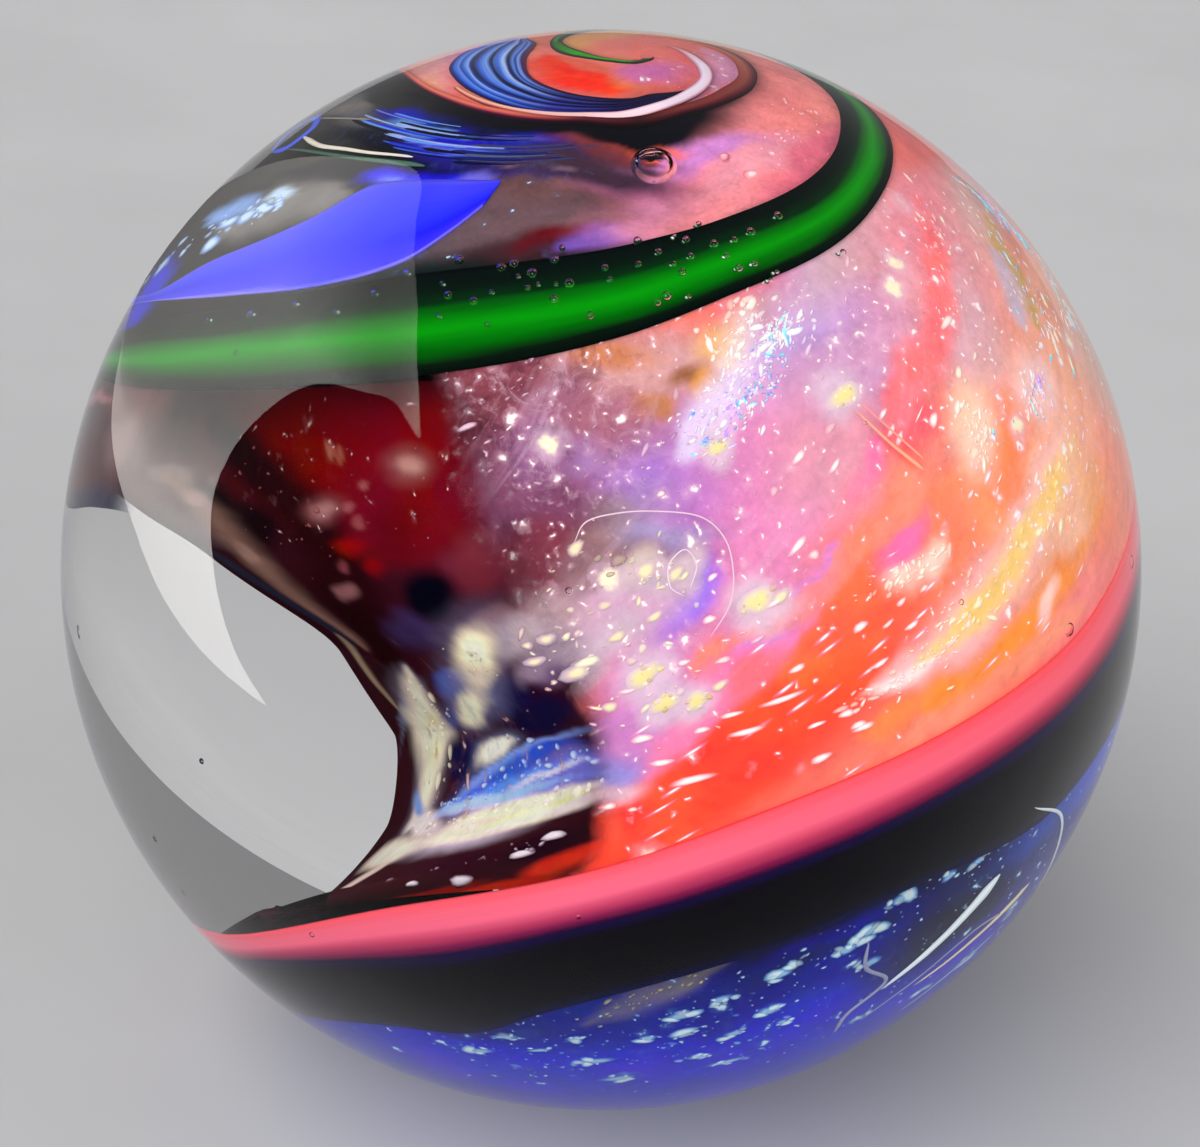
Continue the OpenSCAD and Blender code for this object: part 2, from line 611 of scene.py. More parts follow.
    def output(self, surface):
        node = self.tree.nodes.new("ShaderNodeOutputMaterial")
        self.feed(node.inputs["Surface"], surface)
        return self.material


def clear_glass(name="clear_glass"):
    """Clear glass that lamps and soft light pass through, so that what is inside it is lit."""
    s = Shader(name)
    glass = s.add("BsdfPrincipled", {"Base Color": (1, 1, 1, 1), "Roughness": 0.0, "IOR": GLASS_IOR,
                                     "Transmission Weight": 1.0, "Specular Tint": (*(GLOSS_TINT,) * 3, 1)})
    hole = s.add("BsdfTransparent", {"Color": (1, 1, 1, 1)})
    for_lamps = s.add("MixShader", {0: s.add("LightPath", {}, output="Is Shadow Ray"), 1: glass, 2: hole})
    for_scatter = s.add("MixShader", {0: s.add("LightPath", {}, output="Is Diffuse Ray"), 1: for_lamps,
                                      2: hole})
    return s.output(for_scatter)


def field_glass(name, streaks, dashes, frit, dash, fine=None, cloudy=0.5, drawn_out=0.22, hue=0.035,
                sweep=None, thin=False):
    """A field of worked glass: its painted colours, clouded and drawn out along the twist, with milky
    wisps, frit and dashes where the grain attribute has them. streaks and dashes are scales along and
    across the flow, sweep is the scales of streaks that climb across it, and frit, dash and fine are (core,
    halo) colours."""
    s = Shader(name)
    shares = s.attribute("grain")
    frit_share, dash_share, milk_share = (s.add("SeparateColor", {"Color": shares},
                                                output=k) for k in range(3))
    place, tint = s.place(), s.attribute("tint")
    broad = s.noise(place, 210.0, detail=4.0, warp=0.8)
    cloud = s.noise(place, 850.0, detail=8.0, roughness=0.74, warp=0.5)
    speck = s.noise(place, 2600.0, detail=5.0, roughness=0.7, warp=0.6)
    drawn = s.noise(s.flow(*streaks), 1.0, detail=3.0, warp=0.8)
    noises = [(broad, cloudy), (cloud, cloudy), (speck, 0.9 * cloudy), (drawn, drawn_out)]
    if sweep:
        noises.append((s.noise(s.swept(*sweep), 1.0, detail=5.0, roughness=0.62, warp=0.7), 0.9 * cloudy))
    colour = s.varied(tint, noises, hue)
    milky = s.mix(0.55, tint, frit[1])
    if sweep:
        wisps = s.noise(s.swept(1.4 * sweep[0], 0.8 * sweep[1]), 1.0, detail=6.0, roughness=0.6, warp=0.9)
        colour = s.mix(s.times(s.between(wisps, 0.53, 0.72, 0.75), milk_share), colour, milky)
    blots = s.noise(place, 900.0, detail=7.0, roughness=0.72, warp=0.9)
    dark = s.times(s.between(blots, 0.52, 0.36, 0.8), s.times(milk_share, milk_share))
    colour = s.mix(dark, colour, s.mix(1.0, colour, (120, 70, 110), blend="MULTIPLY"))
    milk = s.between(s.noise(place, 700.0, detail=8.0, roughness=0.74, warp=1.2), 0.5, 0.7)
    colour = s.mix(s.times(milk, milk_share), colour, milky)
    loose = s.bent(place, 1500.0, 0.00045)
    colour = s.flecks(colour, loose, 420.0, 0.2, s.times(frit_share, 0.35), *frit)
    fine = fine or frit
    colour = s.flecks(colour, loose, 1100.0, 0.22, s.times(frit_share, 0.7), *fine, glow=0.35)
    colour = s.flecks(colour, loose, 2600.0, 0.24, s.times(frit_share, 0.8), *fine, glow=0.3)
    run = s.bent(s.swept(*dashes) if sweep else s.flow(*dashes), 1.0, 0.16)
    colour = s.flecks(colour, run, 1.0, 0.15, s.times(dash_share, 0.5), *dash, glow=0.6, dimensions="2D")
    return s.glass_body(colour, s.thinned(cloud) if thin else None)


def ribbon_glass(name, stops, along=12, wobble=0.16, vary=0.3):
    """A drawn ribbon: a profile of colour across it, times its tint, with streaks along it."""
    s = Shader(name)
    drawn = s.noise(s.flow(along, 5), 1.0, detail=3.0)
    across = s.maths("ADD", s.flow_part(1), s.times(s.less(drawn, 0.5), wobble))
    colour = s.mix(1.0, s.ramp(across, stops), s.attribute("tint"), blend="MULTIPLY")
    fine = s.noise(s.flow(2 * along, 26), 1.0, detail=4.0)
    return s.glass_body(s.varied(colour, [(fine, vary)]))


def seed_glass(name, cloudy=0.55, hue=0.05, thin=False):
    """Grains, threads and the smaller sheets: their own tint, clouded like the fields."""
    s = Shader(name)
    cloud = s.noise(s.place(), 330.0, detail=7.0, roughness=0.66)
    return s.glass_body(s.varied(s.attribute("tint"), [(cloud, cloudy)], hue),
                        s.thinned(cloud) if thin else None)


def dichroic_glass():
    """Metal-coated flakes, whose colour drifts through the spectrum across each flake. That colour is a
    painted glint: the bright white and spectral tints of the film's reflection are painted onto a dull
    surface.
    """
    s = Shader("dichroic_flake")
    drift = s.noise(s.bent(s.place(), 900.0, 0.0008), 420.0, detail=2.0, warp=1.5)
    film = s.ramp(drift, [(0.30, (255, 244, 190)), (0.40, (255, 255, 255)), (0.46, (150, 250, 255)),
                          (0.52, (120, 160, 255)), (0.57, (255, 255, 255)), (0.63, (205, 150, 255)),
                          (0.70, (255, 215, 250)), (0.78, (255, 255, 240))])
    colour = s.mix(0.3, film, s.attribute("tint"), blend="MULTIPLY")
    return s.output(s.add("BsdfPrincipled", {"Base Color": colour, "Roughness": 0.5,
                                             "Specular IOR Level": 0.3}))


# ---------------------------------------------------------------- where the colours lie

EMBER = (240, 116, 108)
EMBER_MARKS = [
    # the wine-red left of the front, with pinkish brown mottling
    patch(-9, 39, 13, 9, 15, (150, 80, 92)),
    patch(-19, 36, 6, 12, -40, (104, 26, 50)),
    patch(-17, 29, 9, 6, 0, (78, 4, 24)),
    patch(-11, 26, 8, 7, 20, (96, 26, 44)),
    patch(-21, 40, 5, 4, 0, (124, 60, 74)),
    patch(-4, 44, 12, 3.6, 15, (158, 84, 92)),
    patch(-13, 36.5, 4.2, 2.2, 20, (178, 120, 148)),
    patch(-7, 38.4, 6, 2.4, 18, (182, 154, 194)),
    patch(-11, 31.4, 3.4, 2, 30, (106, 48, 112)),
    patch(-6, 33.5, 5, 2.6, 20, (148, 86, 137)),
    patch(-6, 29.2, 4.6, 2.2, 20, (118, 60, 82)),
    patch(-15, 34.5, 2.2, 1, 30, (150, 100, 130)),
    patch(-17.5, 38, 2, 1, 10, (160, 96, 120)),
    streak([(-15, 26), (-13, 28.5), (-9, 29.3), (-5, 27.5), (0, 24.5)], 0.45, (200, 140, 150)),
    streak([(-13, 26), (-12, 23), (-12, 20)], 0.6, (150, 62, 80)),
    streak([(-9, 28), (-8, 24), (-9, 20)], 0.6, (165, 80, 100)),
    streak([(-5, 27), (-5, 23), (-7, 18)], 0.6, (180, 100, 122)),
    patch(-5, 24.5, 4.4, 2.4, 20, (162, 90, 112)),
    patch(-3, 19, 7, 4, 25, (190, 130, 145)),
    # lavender and magenta in the middle
    patch(6, 37, 10, 7, 15, (184, 126, 174)),
    patch(8, 34, 9, 5, 30, (156, 108, 188)),
    patch(5, 26, 8, 6.4, 20, (170, 140, 174)),
    patch(-1, 30, 3.4, 2.4, 20, (158, 130, 142)),
    patch(13, 29, 9, 6, 50, (190, 116, 196)),
    patch(21, 38, 9, 8, 30, (214, 128, 178)),
    patch(19, 31, 7, 4, 30, (222, 130, 180)),
    patch(17, 24, 6, 5, 30, (222, 130, 175)),
    patch(5, 28.5, 6, 1.5, 10, (150, 140, 180), 0.8),
    patch(6, 27.5, 5, 1.0, 0, (130, 60, 110), 0.8),
    streak([(5, 19), (8, 21.5), (10.5, 25), (11, 28)], 1.7, (135, 90, 240)),
    patch(3.5, 25.7, 2.4, 1.8, 20, (238, 222, 140)),
    patch(8.3, 25.8, 1.8, 2.6, -30, (225, 200, 200)),
    patch(-3, 27, 2.2, 1.6, 20, (215, 205, 150)),
    patch(2, 22, 7, 3, 20, (205, 160, 185)),
    # ochre and the shimmering belt under the green band
    patch(5, 45, 8, 3.5, 15, (204, 146, 146)),
    patch(15, 48, 3, 2, 20, (232, 172, 112)),
    patch(-1, 45.8, 4, 1.4, 15, (196, 118, 84)),
    patch(5.4, 41.3, 2.0, 1.3, 0, (196, 122, 50), 1.0, 0.4),
    patch(12.3, 43.4, 1.8, 1.8, 0, (214, 136, 40), 1.0, 0.4),
    patch(9, 44.4, 1.6, 1.0, 30, (150, 90, 60)),
    patch(22, 51.6, 3, 1.4, 20, (222, 150, 90)),
    streak([(27, 50), (22, 47), (17, 43.5), (12, 40), (8, 37)], 2.3, (222, 205, 235), 0.85),
    streak([(20, 51), (18, 47.5), (15, 45)], 1.9, (240, 215, 190), 0.8),
    # pink and lavender on the right
    patch(36, 50, 11, 7, 20, (188, 150, 210)),
    patch(44, 56, 10, 3.5, 20, (214, 172, 182)),
    patch(32, 43, 8, 4, 10, (205, 150, 190)),
    patch(27, 36, 7, 5, 30, (222, 145, 165)),
    patch(62, 52, 14, 8, 10, (232, 150, 160)),
    patch(72, 55, 10, 4, 0, (240, 140, 152)),
    patch(56, 43, 7, 5, 60, (218, 165, 175)),
    patch(86, 52, 10, 4, 0, (225, 175, 170)),
    patch(62, 33, 15, 8, 10, (255, 178, 158)),
    patch(80, 38, 14, 10, 0, (250, 172, 146)),
    streak([(84, 51), (78, 48), (74, 44), (71, 40)], 2.0, (212, 168, 105)),
    streak([(75, 49), (71, 45), (68, 41)], 1.6, (215, 185, 200)),
    streak([(70, 57), (60, 52), (52, 47.5), (45, 44), (39, 41), (36, 38)], 2.0, (255, 118, 122)),
    streak([(42, 39), (37, 36), (33, 33), (29, 29)], 2.6, (255, 98, 108)),
    streak([(33, 37), (30, 34), (27, 30), (23, 26)], 1.2, (250, 110, 175), 0.8),
    patch(48, 37, 4, 3, 40, (242, 190, 160), 0.8),
    # orange glow and the cream cloud
    patch(43, 29, 14, 6, 25, (255, 145, 105)),
    patch(30, 26, 12, 5, 40, (253, 138, 118)),
    patch(24, 20, 17, 5, 38, (254, 108, 72)),
    patch(60, 24, 12, 6, 20, (250, 185, 150)),
    patch(15, 9, 20, 5, 28, (254, 84, 48)),
    patch(8, 2, 14, 5, 30, (252, 76, 52)),
    streak([(27, 9), (38, 11.5), (49, 14), (60, 17)], 2.6, (255, 142, 72)),
    patch(36, 8, 18, 3, 18, (254, 128, 104)),
    streak([(28, 13.6), (33, 15.2), (38, 17), (44, 20.5), (50, 23.6), (58, 27.4), (66, 31)],
           2.9, (255, 188, 186)),
    streak([(33, 15), (39.6, 18.2), (45, 20.4), (49, 22.8), (55, 24.8), (61, 27.8), (69, 31)],
           1.9, (255, 208, 122)),
    streak([(27, 22.6), (32, 23.6), (36, 24.7), (40, 25.6)], 1.4, (255, 214, 198), 1.0, 0.8),
    patch(69, 23, 3.4, 4, 60, (244, 172, 108)),
    patch(68, 17, 5, 3, 30, (255, 130, 66)),
    patch(66, 11, 8, 3, 15, (252, 118, 110)),
    patch(52, 32, 5, 3, 40, (255, 132, 88)),
    patch(33, 27, 3.6, 1.9, 35, (255, 112, 168)),
    streak([(26, 12.6), (31.8, 14.2), (37, 15.6)], 0.8, (255, 226, 224), 0.9),
    patch(64, 14, 12, 4, 10, (250, 132, 132)),
    patch(85, 20, 16, 10, 5, (250, 140, 110)),
    streak([(2, 8.5), (8, 12), (13, 15.5), (19, 20)], 2.2, (242, 130, 190)),
    streak([(13, 17), (17, 21), (22, 25), (25, 28)], 1.4, (196, 130, 228), 0.8),
    patch(5, 16, 5, 3.5, 30, (206, 130, 184)),
    streak([(1, 5), (5, 8), (9, 11), (13, 13.5)], 2.0, (248, 128, 170)),
    patch(6, 13.6, 3.4, 1.6, 30, (226, 158, 208)),
    # a paler streak down across the field: a painted reflection of a ring of lights
    streak([(50, 37.6), (45, 34.6), (36, 31), (28, 27.6), (21, 23.8), (15, 20.8), (8.6, 17)],
           1.5, (246, 132, 112), 0.85, 0.2),
    streak([(6, -3), (17, -0.5), (28, 3.5), (40, 6), (55, 9.5), (74, 12)], 1.5, (238, 66, 80)),
    # the blue and lavender of the fan, carried on into the field
    patch(2, 8.5, 3.4, 3.4, 25, (158, 118, 190)),
    patch(1.5, 6, 3, 1.6, 22, (150, 140, 214)),
    patch(4, 11, 4, 1.8, 24, (200, 124, 188)),
    patch(2.5, 3.8, 3, 1.3, 22, (222, 176, 190)),
    # darker glass where the field begins, and the mottling over it
    patch(-14, 37, 8, 7, 20, (124, 60, 74)),
    patch(-10, 33, 6, 4, 20, (144, 80, 110)),
    patch(-3, 39, 7, 3, 15, (160, 96, 116)),
    patch(-5, 36, 5, 2, 15, (156, 116, 168)),
    patch(-8, 36, 4, 3, 20, (146, 92, 132)),
    patch(-6, 31, 5, 3, 20, (122, 68, 98)),
    patch(-8, 26.6, 4, 3, 30, (118, 46, 62)),
    patch(-1, 27, 3, 2, 20, (170, 136, 146)),
    patch(15.5, 16.8, 3.4, 2, 40, (248, 108, 122)),
    patch(-5, 21.5, 3.4, 2.4, 25, (196, 160, 166)),
    patch(-3, 17.5, 3, 2.6, 30, (170, 146, 168)),
    patch(88, 32, 8, 8, 60, (224, 164, 144)),
    patch(-6, 26.4, 4, 2.6, 20, (128, 56, 70)),
    patch(-1, 26.4, 3.4, 2.2, 20, (138, 100, 108)),
    streak([(34, 10.5), (38.3, 11.8), (44, 14.2), (52.7, 16.7), (62.7, 19.7), (70, 22)],
           1.7, (255, 146, 54), 0.9),
    streak([(30, 7.5), (41, 10.6), (50.2, 12.4), (60.6, 14.1)], 1.5, (255, 152, 120), 0.9),
    patch(52, 16.2, 2.2, 1.1, 30, (255, 200, 186)),
    patch(48, 35, 4, 3, 60, (250, 206, 180), 0.9),
    patch(63, 36, 3, 4, 60, (250, 206, 204), 0.8),
    # the spiral round the pole
    patch(-100, 66.5, 22, 3.2, 8, (255, 178, 140)),
    streak([(-132, 67), (-118, 70), (-98, 71.5), (-84, 72)], 1.6, (235, 170, 150)),
    streak([(-100, 64.7), (-75, 68.3), (-45, 70.7), (-15, 73)], 0.8, (245, 130, 95)),
    streak([(-92, 79.6), (-76, 80.8), (-52, 81.6), (-26, 82.4), (-4, 82.8)], 2.9, (240, 30, 14)),
    patch(-40, 81.4, 4, 1.8, 20, (255, 44, 16)),
    streak([(-95, 81), (-80, 82.6), (-55, 84.5), (-30, 85.2)], 1.0, (225, 95, 75)),
    patch(0, 84.2, 2.4, 1.8, 0, (235, 110, 60)),
    patch(30, 86.5, 3.5, 2.6, 0, (205, 105, 165)),
    patch(14, 82, 4, 1.4, 20, (215, 95, 90)),
    streak([(20, 79), (45, 80), (75, 81), (110, 81.5), (140, 81)], 1.7, (228, 150, 190)),
    streak([(180, 80), (160, 78.8), (145, 78.3), (130, 79)], 1.2, (232, 158, 88)),
    patch(-160, 84, 5, 3, 0, (240, 120, 110)),
]
EMBER_MARKS += [patch(turn, latitude, 2.6, 1.9, 20, (196, 172, 186), 0.75)
                for turn, latitude in [(-2, 17), (-5, 19), (2, 20), (4.5, 26), (7.6, 25.5)]]
# Yellow grains in the ember field, each (turn, latitude, size, slant)
YELLOW_GRAINS = [(30, 41.5, 1.5, 30), (12.5, 37.5, 1.0, 40), (16, 23.2, 1.5, 35), (4.8, 16.3, 1.4, 30),
                 (7, 13.8, 1.2, 35), (10, 14, 1.1, 35)]
# pale halos round the yellow grains
EMBER_MARKS += [patch(turn, latitude, 2.0 * size, 1.6 * size, slant, (216, 186, 205), 0.9, 0.5)
                for turn, latitude, size, slant in YELLOW_GRAINS]
EMBER_GRAINS = [
    patch(4, 36, 18, 16, 15, (140, 0, 120)),
    patch(-14, 34, 9, 11, 0, (90, 0, 150)),
    patch(-4, 42, 12, 8, 15, (120, 0, 220)),
    patch(6, 24, 12, 8, 20, (220, 20, 110)),
    patch(14, 46, 14, 5, 20, (255, 0, 200)),
    patch(30, 40, 14, 10, 0, (110, 0, 60)),
    patch(56, 48, 20, 12, 10, (150, 0, 100)),
    patch(68, 36, 20, 12, 10, (110, 20, 70)),
    patch(46, 21, 20, 3.4, 22, (255, 30, 60)),
    patch(14, 11, 20, 7, 30, (30, 190, 0)),
    patch(40, 12, 20, 4, 20, (20, 90, 0)),
    patch(90, 78, 60, 8, 0, (80, 20, 40)),
]
NIGHT = (5, 6, 16)
NIGHT_MARKS = [
    # cobalt along the bottom
    patch(8, -33, 70, 11, 8, (4, 8, 205)),
    patch(28, -19, 9, 5, 20, (5, 8, 215)),
    patch(6, -25, 26, 4, 12, (5, 8, 120)),
    streak([(-20, -31), (0, -25), (20, -18), (36, -13)], 2.4, (10, 22, 90)),
    patch(46, -15, 14, 7, 30, (12, 14, 50)),
    patch(60, -12, 8, 8, 60, (30, 34, 80)),
    patch(70, -24, 12, 14, 0, (10, 14, 90)),
    streak([(1, -25), (6, -21), (11, -17.5), (15, -14)], 1.3, (120, 112, 60)),
    # smoky glass and lilac above the green band
    patch(-22, 58, 15, 5.5, 25, (84, 74, 78)),
    patch(-6, 62.5, 15, 4.6, 12, (104, 78, 84)),
    patch(-8, 66.5, 12, 3, 8, (108, 74, 74)),
    patch(-30, 50, 14, 2.6, 22, (22, 34, 34)),
    patch(-8, 56.3, 16, 2.2, 16, (18, 30, 30)),
    patch(-12, 57.6, 8, 1.7, 18, (62, 30, 38)),
    streak([(-18, 55), (-16.5, 57.5), (-12, 59.2), (-5, 60)], 1.0, (92, 10, 26)),
    streak([(-13, 56.4), (-8, 58), (-2, 59.8), (5, 61.4), (13, 62.8)], 1.5, (104, 76, 176)),
    patch(8, 61.6, 5, 1.3, 14, (178, 128, 176)),
    patch(34, 67.5, 15, 4.0, 6, (246, 138, 152)),
    patch(14, 65.5, 6, 3.4, 20, (216, 140, 180)),
    patch(13, 69.5, 8, 3, 8, (206, 112, 156)),
    patch(64, 71, 28, 6, 4, (252, 144, 146)),
    patch(104, 73, 32, 7, 0, (250, 138, 134)),
    patch(20, 72, 9, 2, 8, (206, 130, 200)),
    patch(36, 69, 7, 2, 15, (238, 150, 165)),
    patch(4, 72.9, 4, 0.9, 5, (232, 96, 66), 0.9),
    patch(-8, 71.6, 7, 1.2, 5, (120, 50, 56)),
    patch(55, 67, 12, 2.2, 12, (232, 110, 130)),
    # the window with blue in it, on the upper left
    # the greys here are painted: they stand in for the dark backdrop seen through the window's clear glass
    patch(-86, 56, 14, 8, 35, (52, 49, 44)),
    patch(-88, 60.5, 7, 1.6, 20, (98, 98, 102)),
    streak([(-98, 56), (-92, 60), (-86, 62.5)], 0.9, (120, 112, 105)),
    streak([(-77, 42), (-71, 47.5), (-65, 52), (-58, 56)], 2.9, (124, 119, 116)),
    streak([(-77, 51), (-70, 55), (-61, 58), (-50, 60.5), (-40, 62)], 1.5, (4, 4, 22)),
    patch(-84, 31, 4, 4, 40, (24, 36, 235)),
    patch(-91, 40, 4, 8, -10, (12, 12, 24)),
    streak([(-86, 41), (-80, 44.5), (-75, 47.5)], 1.6, (130, 170, 235)),
    streak([(-74, 48.5), (-69, 51.5)], 0.9, (200, 225, 250)),
    streak([(-60, 58), (-50, 60), (-41, 61.5), (-35, 63)], 1.6, (24, 26, 245)),
    streak([(-59, 57.7), (-52, 59.5), (-47, 60.3)], 0.6, (120, 140, 245)),
    streak([(-52, 57.2), (-46, 58.7), (-41, 60)], 0.6, (130, 150, 250)),
    streak([(-39, 61.5), (-35, 63.5), (-32, 65)], 0.9, (120, 110, 225)),
    patch(-66, 61.5, 9, 1.5, 15, (4, 4, 26)),
    # the streaked blue under the spiral
    streak([(-80, 63.8), (-60, 65.8), (-42, 67.4), (-26, 68.6), (-12, 69)], 2.6, (18, 26, 170)),
    streak([(-50, 63.8), (-38, 65.6), (-24, 67), (-8, 67.6)], 1.3, (22, 20, 110)),
    streak([(-74, 62.7), (-66, 64.6), (-56, 66.6)], 1.0, (95, 150, 205)),
    streak([(-70, 64.6), (-58, 67), (-44, 68.4)], 0.5, (110, 160, 215)),
    streak([(-62, 63.8), (-48, 66.2), (-34, 67.6)], 0.45, (90, 110, 220)),
    streak([(-46, 68.6), (-30, 69.8), (-15, 70.2)], 0.5, (90, 80, 190)),
    streak([(-70, 66.3), (-52, 68.9), (-34, 70.3)], 0.7, (8, 10, 60)),
    patch(-12, 68.6, 9, 2.2, 5, (66, 44, 60)),
    streak([(-34, 66), (-20, 67.4), (-6, 67.9)], 0.4, (120, 90, 110)),
    streak([(-92, 65.5), (-72, 68.4), (-50, 70.4), (-25, 72.3), (0, 74.2)], 0.9, (8, 6, 14)),
    # where the field ends behind the pole, and melts into the coral glass there
    patch(170, 76.5, 7, 4, 0, (228, 152, 104), 1.0, 0.8),
]
NIGHT_GRAINS = [
    patch(10, -31, 34, 10, 10, (70, 0, 60)),
    patch(60, -16, 20, 12, 20, (60, 0, 60)),
    patch(-20, 58, 16, 6, 20, (25, 0, 0)),
    patch(50, 70, 50, 7, 4, (0, 0, 0)),
    patch(-50, 66, 24, 3, 10, (0, 0, 90)),
]
VEIL_MARKS = [
    patch(-70, 30, 16, 6, 12, (98, 56, 56)),
    patch(-84, 19, 8, 2.5, 20, (60, 30, 34)),
    # a pale pink streak along the rim, partly the glass's own colour and partly a painted highlight
    streak([(-92, 14), (-86, 17), (-78, 20.5), (-68, 24)], 0.7, (160, 98, 102)),
    patch(-76, 13.5, 9, 2.4, 20, (76, 30, 32)),
    patch(-64, 22, 5, 3, 20, (120, 92, 92)),
    streak([(-112, 1), (-90, 5.5), (-79, 8.6), (-68, 13.6), (-58, 17), (-50, 19)], 1.5, (24, 26, 58)),
]
WALL = (50, 8, 20)
